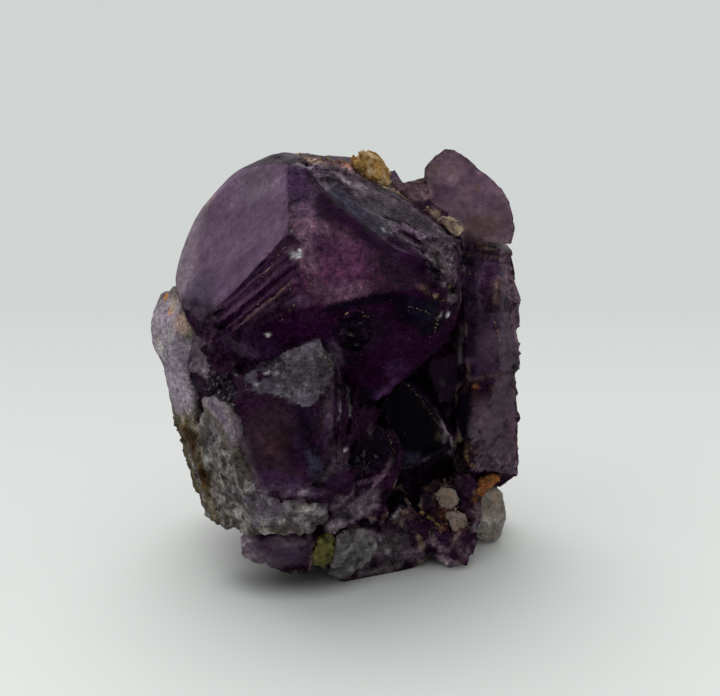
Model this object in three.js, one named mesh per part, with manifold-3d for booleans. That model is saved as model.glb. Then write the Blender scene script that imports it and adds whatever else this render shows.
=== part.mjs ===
// A fluorite cube cluster, 72 mm tall: one grown mass of dark purple crystals with
// grains of other minerals seated in it. Millimetres, +Z up, front towards -Y.
// Each crystal is a convex block given by its corners, or a cube given by its edge,
// centre and turn. Crystals that grew into each other are joined in one solid, and
// every mineral grain is its own solid in a pocket cut for it.
import * as THREE from "three";
import { ConvexGeometry } from "three/addons/geometries/ConvexGeometry.js";
import { mergeVertices } from "three/addons/utils/BufferGeometryUtils.js";
import Module from "manifold-3d";

const wasm = await Module();
wasm.setup();

const seatGap = 0.35; // clearance between a grain and the pocket it sits in
const baseHeight = 0; // the cluster is broken off flat here and stands on it
const wideCut = 200; // edge of the block that trims everything below the base

// ---- shapes ---------------------------------------------------------------

function solidFrom(geometry) {
  const bare = geometry.clone();
  bare.deleteAttribute("normal");
  bare.deleteAttribute("uv");
  const merged = mergeVertices(bare, 1e-4);
  return new wasm.Manifold(
    new wasm.Mesh({
      numProp: 3,
      vertProperties: new Float32Array(merged.attributes.position.array),
      triVerts: new Uint32Array(merged.index.array),
    }),
  );
}

function meshFrom(name, solid, material) {
  const made = solid.getMesh();
  const geometry = new THREE.BufferGeometry();
  geometry.setAttribute("position", new THREE.BufferAttribute(made.vertProperties, 3));
  geometry.setIndex(new THREE.BufferAttribute(made.triVerts, 1));
  geometry.computeVertexNormals();
  const mesh = new THREE.Mesh(geometry, material);
  mesh.name = name;
  return mesh;
}

function toVectors(corners) {
  return corners.map(([x, y, z]) => new THREE.Vector3(x, y, z));
}

// The convex block with these corners. A grown block has its corners moved outwards.
function block(corners, grow = 0) {
  const points = toVectors(corners);
  const centre = points
    .reduce((sum, p) => sum.add(p), new THREE.Vector3())
    .divideScalar(points.length);
  for (const p of points) {
    p.addScaledVector(p.clone().sub(centre).normalize(), grow);
  }
  return solidFrom(new ConvexGeometry(points));
}

// A cube crystal: its edge lengths, centre, and turn about X, Y and Z in degrees.
function cube([width, depth, height], centre, turn) {
  const geometry = new THREE.BoxGeometry(width, depth, height);
  const [rx, ry, rz] = turn.map(THREE.MathUtils.degToRad);
  geometry.applyMatrix4(new THREE.Matrix4().makeRotationFromEuler(new THREE.Euler(rx, ry, rz)));
  geometry.translate(...centre);
  return solidFrom(geometry);
}

function joined(solids) {
  return solids.reduce((whole, next) => whole.add(next));
}

// ---- the grown mass of fluorite -------------------------------------------

const upperCrystal = [
  // top edge of the broad left face, from the apex down the left rim
  [-10.5, 2, 72.2], [-14, 4, 70.5], [-17.7, 6, 68.6], [-23.7, 7, 61.9],
  [-27.2, 5, 55], [-28.3, 1, 50.2], [-26.3, -4, 47.8],
  // narrow strip between the broad left face and the front face
  [-7.4, -4, 71.8], [-3.5, -6, 70.6], [-6.9, -14, 62.4], [-3.4, -10.5, 66],
  [-4.7, -16.3, 58], [-15.7, -13, 52.6],
  // ridge across the front, which bends back to the right
  [-9.4, -17, 50.3], [-4.8, -18.5, 51], [1.4, -18.5, 51.6], [5.4, -17.8, 52.8],
  [10.2, -16.8, 53.5], [15.2, -14, 52.6],
  // front edge of the sloping roof on the right, and the roof's back rim
  [-1.7, -7, 68.5], [2.1, -10, 64.8], [6.1, -11.8, 61.5], [10.7, -12.4, 59.1],
  [16, -11, 56.7], [2, -1, 69.6], [6.2, -1, 67.9], [12.1, -1, 65], [18, -2, 60.9],
  [21.8, -2, 58.3], [21.8, -5, 48.6], [20.5, -8, 49.5],
  // lower edge of the dark face that leans in under the ridge
  [20.6, -6, 44.2], [18.2, -6.5, 40.3], [15.6, -7.5, 38.5], [11.3, -8.5, 35.2],
  [8.8, -8.8, 32.4], [5.4, -9.5, 31.4], [2.8, -11.5, 35.2], [0.8, -15, 43.4],
  // belly on the lower left
  [-22.2, -10, 46.2], [-13.1, -17, 47], [-23.3, -6, 42.7], [-20.5, -9, 41],
  [-17.2, -12, 39.8], [-12.9, -13.5, 39.4], [-9.4, -15, 40.9], [-4, -16, 44.2],
  // hidden back
  [-4.7, 6, 71.9], [-0.7, 8, 71], [3.1, 8, 70.8], [-22, 13, 58], [-12, 15, 66],
  [12, 12, 63], [20, 8, 57], [20, 8, 46], [14, 10, 38], [-22, 8, 42], [-2, 12, 36],
];

const lowerLeftCrystal = [
  // frosted top face, leaning towards the front
  [-9.7, -17, 40], [-5.6, -15.5, 43.4], [-2.4, -14, 44.8], [-0.1, -14, 43.5],
  [0.4, -18, 39.6], [-1.1, -20, 37.4], [-3.8, -22, 35.5], [-9.9, -21.5, 37.8],
  [-14.5, -14, 39.1], [-14.1, -19, 37.4], [-16.3, -18.5, 35.2],
  // foot of the dark front face
  [-15.9, -18.5, 28.5], [-14.6, -18.5, 21], [-11.8, -19.5, 19.6],
  [-5.4, -20.5, 20.4], [-2.1, -20, 22.4],
  // right flank
  [2, -14.5, 21.4], [3.1, -12, 27.6], [2.8, -12, 32.2], [1.2, -13, 39.7],
  // hidden back
  [-17, -4, 38], [0, -4, 43], [3, -4, 24], [-17, -4, 20],
];

const wedgeCrystal = [
  [-22.9, -6, 42.1], [-24.8, -5, 39.7], [-25.3, -6, 36], [-21.9, -9, 35.2],
  [-18.1, -12, 38.1], [-20, -9, 39.8], [-22, 0, 42], [-24, 0, 36], [-16, -4, 36],
];

const darkShelf = [
  [-25.3, -6, 36], [-22.5, -11, 32.8], [-19.5, -14.5, 33.6], [-16, -18, 35],
  [-14.3, -14.5, 39], [-18.1, -12, 37.6], [-24, -2, 32], [-14, -4, 28],
];

const blackCrystal = [
  [13.7, -2, 32.7], [18.3, -1, 27.1], [20.4, 0, 22.8], [22.1, 0, 19.9],
  [21.8, 0, 17.9], [18.9, -2, 17.4], [11.6, -6, 17.6], [12, -7, 21.9],
  [10.6, -6, 26.2], [8.2, -7.2, 30.6], [11, -5, 34], [15, 3, 33], [21.5, 4, 22],
  [20, 6, 15], [10, 4, 16],
];

const blackCrystalBehind = [
  [16.9, 0, 36.2], [21.6, 3, 36], [23.8, 4, 36.7], [24, 4, 34.8], [22.6, 3, 30.4],
  [21.2, 2, 27.5], [18.8, 0, 28.2], [16.5, -2, 34.6], [14, 6, 38], [23, 10, 36],
  [20, 10, 26],
];

const middleCrystal = [
  [7.1, -9, 27.4], [10.6, -8, 25.7], [12, -9, 23.1], [12.1, -9, 21.8],
  [11.4, -10, 20.3], [8.8, -12, 18.8], [1.9, -14, 18.4], [2.8, -13, 22.6],
  [4.5, -11, 25.4], [2, -4, 27], [10, -2, 24], [11, -4, 16], [0, -6, 18],
];

const middleShard = [
  [7.1, -9, 30.5], [6.2, -10, 26.8], [3.1, -12, 29.5], [2, -12, 24],
  [5.4, -9.5, 31.6], [4, -4, 33], [3, -4, 24], [9, -4, 28],
];

const violetShelf = [
  [-2, -18, 17], [2, -15, 18.9], [8.8, -12, 19.6], [12, -10, 20.3],
  [10.6, -9.5, 16.3], [8.9, -10, 12.7], [7.1, -11, 11.3], [5.4, -13, 10.9],
  [1.9, -16, 14.2], [-2, -16, 8], [6, -10, 6], [10, -4, 16], [-2, -6, 16],
];

const footBlockLeft = [
  [-15.6, -17, 10.8], [-15.9, -17, 6], [-11.8, -17, 4.7], [-9.4, -15, 2.5],
  [-4.2, -15, 2.1], [-3.2, -18, 8.1], [-3.9, -19, 12.4], [-9.4, -18.5, 12.2],
  [-14, -6, 14], [-13, -5, 3], [-2, -8, 0], [0, -8, 14],
];

const footBlockMiddle = [
  [5.9, -14, 10.2], [11.5, -12, 10.8], [13.7, -9, 12.2], [15.1, -10, 10.8],
  [17.5, -9, 4.4], [17, -9, 2.4], [14.3, -9.5, 0.3], [11.6, -10.5, 0],
  [8.9, -11.5, 0], [1.3, -14.5, 0], [-1, -14, 6], [10, 0, 14], [16, 0, 0], [-6, -4, 0],
];

const footBlockRight = [
  [15.2, -5, 13.7], [19.8, -3, 14.3], [24.5, -1, 14.4], [27.4, -1, 11.4],
  [26, -3, 8], [25.4, -5, 3.3], [23.6, -8, 0.5], [20.8, -9.5, 0], [18.3, -9.5, 1.7],
  [17.7, -9, 4.4], [15.1, -9.5, 10.5], [26, 7, 13], [25, 7, 0], [14, 2, 0],
];

const slabPeak = [
  [15.7, 7.6, 69], [17.6, 8.4, 71], [19.4, 9, 72], [21.7, 8.8, 71.8], [24.6, 7.6, 69],
  [29, 6.4, 66], [30.5, 5.4, 63.7], [31.6, 3.8, 59.4], [30.8, 2.6, 56.6],
  [22.2, 2.6, 56.8], [17, 4.8, 62], [18, 15, 69], [28, 15, 63], [30, 14, 56],
  [17, 15, 58], [21, 13, 71],
];

const slabShoulder = [
  [8.9, 6, 66.2], [15.7, 8, 67.2], [18, 7, 65.5], [22.2, 2, 57.5], [18, 2, 58],
  [9, 12, 64], [20, 14, 62], [18, 12, 52],
];

const slabUpper = [
  [22.2, 2, 56.6], [29, 3, 55.6], [31.6, 6, 54.2], [32.6, 6, 47.4], [33.1, 6, 40.3],
  [33.6, 5, 32.4], [29.6, 2, 33.2], [23.9, 2, 31.4], [22.4, 2, 50.3],
  [20, 14, 56], [31, 15, 54], [33, 14, 32], [20, 14, 30], [21, 6, 34],
];

const slabLower = [
  [24.5, 3, 33], [29.6, 2.6, 33], [32.6, 5, 33], [32.6, 5, 26.7], [33.8, 5, 18.8],
  [34, 4, 12.2], [30.7, 4, 9.7], [26.7, 2, 12.1], [24.6, 0, 15], [22.3, 1, 20.5],
  [21.9, 1, 23.4], [23.5, 2, 27.9], [33, 12, 31], [33, 12, 12], [24, 12, 10],
  [20, 10, 24], [22, 8, 35], [32, 10, 35],
];

const coreMass = [
  [-25, 0, 42], [-25, 2, 20], [-21, -3, 10], [-14, -10, 4], [-6, -10, 0],
  [14, -4, 0], [22, 3, 0], [21, 6, 12], [22, 8, 30], [20, 8, 50], [-14, -12, 30],
  [2, -10, 22], [0, -8, 40], [11, -3, 16], [-22, 14, 42], [-20, 15, 12],
  [-10, 14, 0], [16, 16, 0], [20, 15, 50], [-12, 14, 62],
];

// Cubes that show on the back and the flanks: edges, centre, turn.
const cubes = [
  { edges: [20, 20, 20], centre: [-9, 10, 40], turn: [24, 18, 38] },
  { edges: [15, 15, 15], centre: [8, 13, 55], turn: [40, -12, 20] },
  { edges: [13, 13, 13], centre: [-19, 10, 20], turn: [10, 32, 24] },
  { edges: [17, 17, 17], centre: [7, 13, 28], turn: [-14, 22, 50] },
  { edges: [11, 11, 11], centre: [21, 14, 42], turn: [30, 12, 12] },
  { edges: [12, 12, 12], centre: [22, 11, 9], turn: [22, -18, 30] },
  { edges: [14, 14, 14], centre: [-5, 14, 10], turn: [8, -26, 16] },
  { edges: [9, 9, 9], centre: [-18, 11, 54], turn: [42, 20, 8] },
];

// Shell-shaped break under the front ridge.
const frontHollow = [
  [-0.5, -22, 50.4], [4, -22, 51], [7.6, -22, 49.6], [8, -22, 43], [5, -22, 41],
  [0, -22, 41.6], [1, -15.8, 49], [6, -15.2, 48.8], [6.4, -13.4, 44.6],
  [4, -12.6, 42.4], [1.4, -13.6, 43.4],
];

// ---- mineral grains seated in the mass ------------------------------------

const quartzCrust = [
  // pale upper end, then the flank down to the foot, the band across the front, and a lobe
  [
    [-30.8, 3, 47.8], [-32.3, 0, 43.6], [-31.9, -1, 38.7], [-30, -2, 35.7],
    [-25.8, -5, 43.6], [-23.5, -6, 42.4], [-25.2, -6.5, 36], [-27, 0, 49],
    [-26, 8, 46], [-30, 7, 40], [-24, 8, 34],
  ],
  [
    [-30, -2, 35.7], [-28.4, -2, 31.4], [-28.5, -2, 25.2], [-25.4, -6.5, 36],
    [-24.2, -8, 31], [-24, -8.5, 25], [-27, 5, 37], [-26, 5, 25], [-22, 2, 30],
  ],
  [
    [-28.4, -2, 25.2], [-27.4, -3, 22.1], [-26.2, -4, 18.1], [-24.7, -5, 14.1],
    [-23, -8, 10.2], [-20.2, -10, 8.8], [-24, -8, 25], [-22.6, -10, 27.6],
    [-21.7, -11, 25.4], [-21.4, -11.5, 20], [-20, -13, 12], [-24, 4, 24],
    [-22, 4, 12], [-16, -4, 26],
  ],
  [
    [-22, -10, 27.4], [-18, -16, 27.4], [-15.6, -18.2, 27], [-15, -18, 21.5],
    [-16.5, -17, 20.4], [-12.1, -19.2, 18.8], [-14.9, -17.4, 11.6],
    [-19.4, -13.4, 10], [-22, -10.5, 11], [-14, -8, 26], [-12, -8, 12],
  ],
  [
    [-14, -18, 19.2], [-12, -19.8, 18.9], [-5.4, -20.6, 18.9], [-2, -19, 16.8],
    [-1.4, -18, 13.7], [-3.9, -19.4, 12.8], [-15.1, -17.4, 11.4], [-9, -19.2, 12.6],
    [-12, -12, 18], [-3, -12, 17], [-12, -12, 12],
  ],
  [
    [-21.7, -11.4, 33.2], [-19.8, -13.6, 34], [-17.4, -16.4, 33.9],
    [-15.5, -18.8, 33], [-14.6, -19.3, 30.3], [-16.2, -18.4, 27.4],
    [-18, -16.8, 26.6], [-20.6, -13.4, 26.4], [-23, -9, 28], [-18, -10, 32],
    [-15, -14, 29],
  ],
];

const calciteFoot = [
  [0.6, -17.6, 10], [2.8, -17.4, 8.6], [5.9, -15, 10.2], [7.6, -14, 6.7],
  [5.4, -14.2, 3.8], [2.7, -14.6, 1.2], [0.1, -15.2, 1.4], [-0.4, -17, 4],
  [1, -12, 9], [4, -11, 6], [1, -12, 3],
];

const greenGrain = [
  [-2.3, -18.2, 10.1], [-0.2, -17.6, 11], [-0.2, -18, 7.8], [-0.9, -17.2, 4.6],
  [-3.2, -17.8, 5.1], [-3.2, -18.2, 8], [-2.2, -14, 9], [-1, -14, 6],
];

const ironstoneLump = [
  [3.1, 4, 71], [4.6, 3.4, 72.2], [6, 4.6, 72.6], [8.4, 4, 70.3], [10, 4.6, 68.4],
  [9, 2, 67], [6.6, 1, 67.8], [4.2, 1.6, 70.2], [8.6, 8, 68.6], [5, 8.4, 71],
  [5, 5, 67],
];

const rimBead = [
  [18.4, -1.6, 62.3], [20.2, -0.6, 61.8], [21.9, 0, 61], [22.2, 0.4, 59.4],
  [21.2, -1.8, 58.8], [19.8, -2.4, 59.8], [20.4, 2.4, 60], [18, 1.4, 61],
];

const calciteGrainUpper = [
  [17.7, -6.2, 13.1], [19.7, -5.4, 13.8], [22, -4.2, 12.4], [22.3, -4.8, 10.5],
  [20.3, -6, 9.8], [18.6, -6.6, 10.8], [19.6, -2.4, 12.6], [20.8, -2.4, 10.6],
];

const calciteGrainLower = [
  [19.9, -8, 10.1], [22.5, -6.6, 9.4], [24, -6, 7.6], [23.4, -6.8, 6],
  [20.9, -8.8, 7.2], [22, -3.8, 8.6], [20.6, -4.6, 8],
];

const quartzBleb = [
  [27.4, -0.4, 11], [29, -0.6, 10.8], [30.6, 0.6, 10], [31.5, 1, 4.6],
  [30.3, 1, 0.6], [28, 0, 0.4], [26.4, -1, 3], [26.2, -1.2, 6.4], [28.6, -1.4, 6],
  [30, 6, 9], [30.4, 6, 2], [26, 6, 5],
];

const limonitePatch = [
  [25.2, -2, 10.9], [26.4, -1.4, 12.5], [28.6, -0.4, 13], [30.2, 1.4, 13.2],
  [30, 1.6, 12], [28.4, -0.2, 11.6], [26.6, -1.6, 10.2], [27, 3.4, 12.6], [29, 4, 12.4],
];

// ---- materials ------------------------------------------------------------

function finish(colour, roughness) {
  return new THREE.MeshStandardMaterial({ color: colour, roughness, metalness: 0 });
}

const fluorite = finish(0x4a2f55, 0.35);
const quartz = finish(0xa9a39c, 0.7);
const calcite = finish(0xc9bcb2, 0.55);
const ironstone = finish(0x8a5a26, 0.85);
const limonite = finish(0xb0632a, 0.8);
const green = finish(0x7d7a34, 0.75);

// ---- assembly -------------------------------------------------------------

const grains = [
  { name: "quartz_crust", blocks: quartzCrust, material: quartz },
  { name: "calcite_foot", blocks: [calciteFoot], material: calcite },
  { name: "green_grain", blocks: [greenGrain], material: green },
  { name: "ironstone_lump", blocks: [ironstoneLump], material: ironstone },
  { name: "rim_bead", blocks: [rimBead], material: calcite },
  { name: "calcite_grain_upper", blocks: [calciteGrainUpper], material: calcite },
  { name: "calcite_grain_lower", blocks: [calciteGrainLower], material: calcite },
  { name: "quartz_bleb", blocks: [quartzBleb], material: quartz },
  { name: "limonite_patch", blocks: [limonitePatch], material: limonite },
];

const belowBase = solidFrom(
  new THREE.BoxGeometry(wideCut, wideCut, wideCut).translate(0, 0, baseHeight - wideCut / 2),
);

function buildFluorite() {
  const grown = [
    upperCrystal, lowerLeftCrystal, wedgeCrystal, darkShelf, blackCrystal,
    blackCrystalBehind, middleCrystal, middleShard, violetShelf, footBlockLeft,
    footBlockMiddle, footBlockRight, slabPeak, slabShoulder, slabUpper, slabLower,
    coreMass,
  ].map((corners) => block(corners));
  const turned = cubes.map(({ edges, centre, turn }) => cube(edges, centre, turn));
  return joined([...grown, ...turned]).subtract(block(frontHollow)).subtract(belowBase);
}

// Each grain is cut clear of the ones seated before it, and the mass is cut clear of all.
function buildAll() {
  const seated = [];
  let mass = buildFluorite();
  let taken = null;
  for (const { name, blocks, material } of grains) {
    const whole = joined(blocks.map((corners) => block(corners))).subtract(belowBase);
    const pocket = joined(blocks.map((corners) => block(corners, seatGap * 2)));
    seated.push({ name, material, solid: taken ? whole.subtract(taken) : whole });
    mass = mass.subtract(pocket);
    taken = taken ? taken.add(pocket) : pocket;
  }
  return [{ name: "fluorite_cluster", material: fluorite, solid: mass }, ...seated];
}

const cluster = new THREE.Group();
for (const { name, material, solid } of buildAll()) {
  cluster.add(meshFrom(name, solid, material));
}

// The origin is on the base, under the middle of the whole cluster's box.
const whole = new THREE.Box3().setFromObject(cluster);
const middle = whole.getCenter(new THREE.Vector3());
cluster.position.set(-middle.x, -middle.y, -whole.min.z);

export default cluster;
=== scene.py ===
import itertools
import math

import bmesh
import bpy
import numpy as np
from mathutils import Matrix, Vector, kdtree
from mathutils.bvhtree import BVHTree


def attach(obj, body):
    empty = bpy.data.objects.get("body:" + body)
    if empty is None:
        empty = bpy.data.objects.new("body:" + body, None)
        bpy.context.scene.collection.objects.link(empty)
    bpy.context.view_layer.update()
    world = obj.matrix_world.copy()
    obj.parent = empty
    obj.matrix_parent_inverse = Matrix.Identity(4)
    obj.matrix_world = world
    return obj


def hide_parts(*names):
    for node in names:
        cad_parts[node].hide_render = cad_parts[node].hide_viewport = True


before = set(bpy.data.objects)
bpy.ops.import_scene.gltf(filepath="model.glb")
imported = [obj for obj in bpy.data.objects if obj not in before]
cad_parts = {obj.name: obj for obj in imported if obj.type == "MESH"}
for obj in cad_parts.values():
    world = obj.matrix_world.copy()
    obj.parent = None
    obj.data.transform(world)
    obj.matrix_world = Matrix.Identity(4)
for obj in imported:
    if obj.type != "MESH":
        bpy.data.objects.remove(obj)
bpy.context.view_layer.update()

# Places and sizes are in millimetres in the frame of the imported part; meshes are written in metres.
mm = 0.001


def linked(tree, kind, values=None, **settings):  # one node, its settings, and what feeds its inputs
    made = tree.nodes.new(kind)
    for key, value in settings.items():
        setattr(made, key, value)
    for key, value in (values or {}).items():
        if isinstance(value, bpy.types.NodeSocket):
            tree.links.new(value, made.inputs[key])
        else:
            made.inputs[key].default_value = value
    return made


def maths(tree, operation, first, second=0.0):
    return linked(tree, "ShaderNodeMath", {0: first, 1: second}, operation=operation).outputs[0]


def vectors(tree, operation, values, output="Vector"):
    return linked(tree, "ShaderNodeVectorMath", values, operation=operation).outputs[output]


def blended(tree, share, first, second, mode="MIX"):
    first, second = (c if isinstance(c, bpy.types.NodeSocket) else (*c, 1) for c in (first, second))
    values = {0: share, 6: first, 7: second}
    return linked(tree, "ShaderNodeMix", values, data_type="RGBA", blend_type=mode).outputs[2]


def between(tree, value, low, high, start=0.0, end=1.0, curve="LINEAR"):
    values = {"Value": value, "From Min": low, "From Max": high, "To Min": start, "To Max": end}
    return linked(tree, "ShaderNodeMapRange", values, interpolation_type=curve).outputs["Result"]


cameraSettings = {
    "target": (3.65, -2.45, 38.4),  # what the view is centred on
    "distance": 212,
    "elevation": 18,  # degrees above the floor
    "lens": 60, "sensor": 36, "nearest": 10,
}

studioSettings = {
    "floorSize": 14000,
    # painted light: the floor is painted lighter near the front and darker further back, standing in for how
    # the light falls on it
    "floorNear": (0.93, 0.94, 0.92), "floorFar": (0.72, 0.735, 0.725),
    "floorFade": (-60, 160),  # where along Y one colour turns into the other
    "paintedShadowPlace": (-8, -16.5, 0), "paintedShadowReach": (16, 8, 1),  # a painted shadow on the floor, darkest under the overhanging front
    "paintedShadowLight": 0.3,
    "skyColour": (0.95, 0.985, 0.97),
    "skyTop": (0, 0.5, 0.87),  # the way to the brightest part of the sky
    "skyFade": (-0.5, 0.9),  # how far a way leans towards it, from darkest to brightest
    "skyStrength": (0.06, 0.62),  # darkest, brightest
    "sunDistance": 500,
    # name, the way its light comes from, strength, softness in degrees
    "suns": [
        ("overhead", (-0.15, 0.6, 1.0), 1.25, 55),
        ("fromLeft", (-1.0, -0.25, 0.7), 0.35, 50),
    ],
}


def added(name, data):
    thing = bpy.data.objects.new(name, data)
    bpy.context.scene.collection.objects.link(thing)
    return thing


def aimed(thing, target):
    direction = Vector(target) - thing.location
    thing.rotation_euler = direction.to_track_quat("-Z", "Y").to_euler()


def addCamera(settings):
    data = bpy.data.cameras.new("camera")
    data.lens = settings["lens"]
    data.sensor_width = settings["sensor"]
    data.clip_start = settings["nearest"] * mm
    camera = added("camera", data)
    up = math.radians(settings["elevation"])
    target = Vector(settings["target"]) * mm
    back = Vector((0, -math.cos(up), math.sin(up)))
    camera.location = target + back * settings["distance"] * mm
    aimed(camera, target)
    bpy.context.scene.camera = camera


def floorPaint(settings):
    paint = bpy.data.materials.new("floorPaint")
    paint.use_nodes = True
    tree = paint.node_tree
    place = linked(tree, "ShaderNodeTexCoord").outputs["Object"]
    parts = linked(tree, "ShaderNodeSeparateXYZ", {0: place}).outputs
    # painted light: the floor's colour is lighter near the front and darker further back
    fall = between(tree, parts["Y"], *(end * mm for end in settings["floorFade"]))
    shades = blended(tree, fall, settings["floorNear"], settings["floorFar"])
    # painted shadow: the floor's colour is darkened around a place under the stone's front
    away = vectors(tree, "SUBTRACT", {0: place, 1: Vector(settings["paintedShadowPlace"]) * mm})
    away = vectors(tree, "DIVIDE", {0: away, 1: Vector(settings["paintedShadowReach"]) * mm})
    away = vectors(tree, "LENGTH", {0: away}, "Value")
    light = between(tree, away, 0, 1, settings["paintedShadowLight"], 1, "SMOOTHSTEP")
    shades = vectors(tree, "SCALE", {0: shades, "Scale": light})
    shader = tree.nodes["Principled BSDF"]
    tree.links.new(shades, shader.inputs["Base Color"])
    shader.inputs["Roughness"].default_value = 1.0
    shader.inputs["Specular IOR Level"].default_value = 0.0
    return paint


def addStudio(settings):
    half = settings["floorSize"] / 2 * mm
    corners = [(-half, -half, 0), (half, -half, 0), (half, half, 0), (-half, half, 0)]
    mesh = bpy.data.meshes.new("floor")
    mesh.from_pydata(corners, [], [(0, 1, 2, 3)])
    mesh.materials.append(floorPaint(settings))
    floor = added("floor", mesh)
    floor.visible_glossy = False  # the table ends close in front, so the stones don't mirror it

    world = bpy.data.worlds.new("studio")
    world.use_nodes = True
    tree = world.node_tree
    way = linked(tree, "ShaderNodeTexCoord").outputs["Generated"]
    facing = vectors(tree, "DOT_PRODUCT", {0: way, 1: settings["skyTop"]}, "Value")
    strength = between(tree, facing, *settings["skyFade"], *settings["skyStrength"], "SMOOTHSTEP")
    sky = tree.nodes["Background"]
    sky.inputs["Color"].default_value = (*settings["skyColour"], 1)
    tree.links.new(strength, sky.inputs["Strength"])
    bpy.context.scene.world = world

    for name, way, strength, softness in settings["suns"]:
        data = bpy.data.lights.new(name, "SUN")
        data.energy = strength
        data.angle = math.radians(softness)
        sun = added(name, data)
        sun.location = Vector(way) * settings["sunDistance"] * mm
        aimed(sun, (0, 0, 0))


addCamera(cameraSettings)
addStudio(studioSettings)
bpy.context.scene.view_settings.view_transform = "Standard"
print("camera and studio set")


# Patterns: arrays of places in millimetres go in, one number for each comes out.
# Each use has a seed of its own, so that no two patterns are alike.
hashPrimes = (73856093, 19349663, 83492791, 83492787, 1274126177)  # they mix a cell into a random number
hashLimit = 0xFFFFFF  # the largest whole number behind the random ones
seedShift = 7.31  # how far each seed moves the pattern, in lumps


def shuffled(cells, seed):  # a random number from 0 to 1 for each whole-number cell
    first, second, third, fourth, last = hashPrimes
    mixed = cells[:, 0] * first ^ cells[:, 1] * second ^ cells[:, 2] * third ^ seed * fourth
    mixed = (mixed ^ (mixed >> 13)) * last
    mixed = (mixed ^ (mixed >> 16)) & hashLimit
    return mixed / hashLimit


def smoothNoise(points, size, seed):  # soft lumps of the given size, from -1 to 1
    scaled = points / size + seed * seedShift
    cell = np.floor(scaled).astype(np.int64)
    inside = scaled - cell
    inside = inside * inside * (3 - 2 * inside)
    total = np.zeros(len(points))
    for step in itertools.product((0, 1), repeat=3):
        x, y, z = (inside[:, k] if step[k] else 1 - inside[:, k] for k in range(3))
        total += x * y * z * shuffled(cell + np.array(step), seed)
    return total * 2 - 1


def roughNoise(points, size, seed, layers=3):  # lumps with finer lumps on them
    total = np.zeros(len(points))
    strength = 1.0
    for layer in range(layers):
        total += strength * smoothNoise(points, size / 2**layer, seed + layer)
        strength *= 0.5
    return total / 1.75  # what three layers add up to


def unit(way):
    return np.array(way) / np.linalg.norm(way)


def drawnOut(points, run, across, length, width, seed):  # lumps drawn out along one direction
    run = unit(run)
    across = unit(np.array(across) - run * (run @ np.array(across)))
    places = [points @ run * (width / length), points @ across, points @ np.cross(run, across)]
    return roughNoise(np.stack(places, axis=1), width, seed, 2)


def brokenCells(points, size, seed):
    # for the nearest of many random places: the offset to it, its number, and the gap to the next one
    scaled = points / size
    home = np.floor(scaled).astype(np.int64)
    nearest = np.full(len(points), 9.0)
    second = np.full(len(points), 9.0)
    offset = np.zeros_like(points)
    number = np.zeros(len(points))
    for step in itertools.product((-1, 0, 1), repeat=3):
        cell = home + np.array(step)
        jitter = np.stack([shuffled(cell, seed + k) for k in (1, 2, 3)], axis=1)
        away = scaled - (cell + jitter)
        distance = np.linalg.norm(away, axis=1)
        closer = distance < nearest
        second = np.where(closer, nearest, np.minimum(second, distance))
        nearest = np.where(closer, distance, nearest)
        offset[closer] = away[closer] * size
        number = np.where(closer, shuffled(cell, seed + 4), number)
    return offset, number, (second - nearest) * size


def chipped(points, size, seed, tilt):  # flat broken facets, each leaning its own way
    offset, number, _ = brokenCells(points, size, seed)
    # three unlike numbers out of one
    lean = np.stack([np.sin(number * 61), np.sin(number * 137 + 1), np.sin(number * 211 + 2)], axis=1)
    return (offset * lean).sum(axis=1) * tilt + (number - 0.5) * size * tilt * 0.8


def clustered(points, size, seed, height):  # small crystals standing side by side
    _, number, gap = brokenCells(points, size, seed)
    return height * (np.clip(gap / (0.6 * size), 0, 1) * (0.35 + 0.65 * number) - 0.4)


def stairs(points, across, period, seed, wander, stretch):  # how many steps along each point lies
    return (points @ unit(across) + wander * roughNoise(points, period * stretch, seed, 2)) / period


def sawSteps(points, across, period, seed, wander):  # steps with one steep side
    place = stairs(points, across, period, seed, wander, 4)
    step = np.floor(place)
    height = 0.4 + 0.6 * shuffled(np.stack([step.astype(np.int64)] * 3, axis=1), seed)
    return (place - step) * height


riser = 0.22  # the share of a step that its steep side takes


def terraces(points, across, period, seed, wander):  # flat treads, each a little above the last
    place = stairs(points, across, period, seed, wander, 3)
    step = np.floor(place)
    return step + np.clip((place - step) / riser, 0, 1) - place


def eased(value):
    value = np.clip(value, 0, 1)
    return value * value * (3 - 2 * value)


def nearBall(points, centre, radii, soft=0.5):  # 1 inside, fading to 0 at the radii
    distance = np.linalg.norm((points - np.array(centre)) / np.array(radii), axis=1)
    return eased((1 - distance) / soft)


def nearLine(points, corners, radius, soft=0.5):  # 1 along the line through these corners
    nearest = np.full(len(points), 1e9)
    for start, end in zip(corners[:-1], corners[1:]):
        start, along = np.array(start, float), np.array(end, float) - np.array(start, float)
        share = np.clip(((points - start) @ along) / (along @ along), 0, 1)
        nearest = np.minimum(nearest, np.linalg.norm(points - start - share[:, None] * along, axis=1))
    return eased((1 - nearest / radius) / soft)


def rising(points, axis, start, width):  # from 0 at start to 1 at start + width
    return eased((points[:, "xyz".index(axis)] - start) / width)


def near(points, where, reach, soft):  # a list of corners is a line, one place is a ball
    return (nearLine if isinstance(where, list) else nearBall)(points, where, reach, soft)


def meshArrays(mesh):
    points = np.empty(len(mesh.vertices) * 3)
    mesh.vertices.foreach_get("co", points)
    mesh.calc_loop_triangles()
    triangles = np.empty(len(mesh.loop_triangles) * 3, dtype=np.int64)
    mesh.loop_triangles.foreach_get("vertices", triangles)
    return points.reshape(-1, 3) / mm, triangles.reshape(-1, 3)


def skinTree(mesh):  # finds the nearest place on the mesh
    points, triangles = meshArrays(mesh)
    return BVHTree.FromPolygons(points.tolist(), triangles.tolist())


def setPoints(mesh, points):
    mesh.vertices.foreach_set("co", (points * mm).ravel())
    mesh.update()


def normals(mesh):
    found = np.empty(len(mesh.vertices) * 3)
    mesh.vertex_normals.foreach_get("vector", found)
    return found.reshape(-1, 3)


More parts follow.
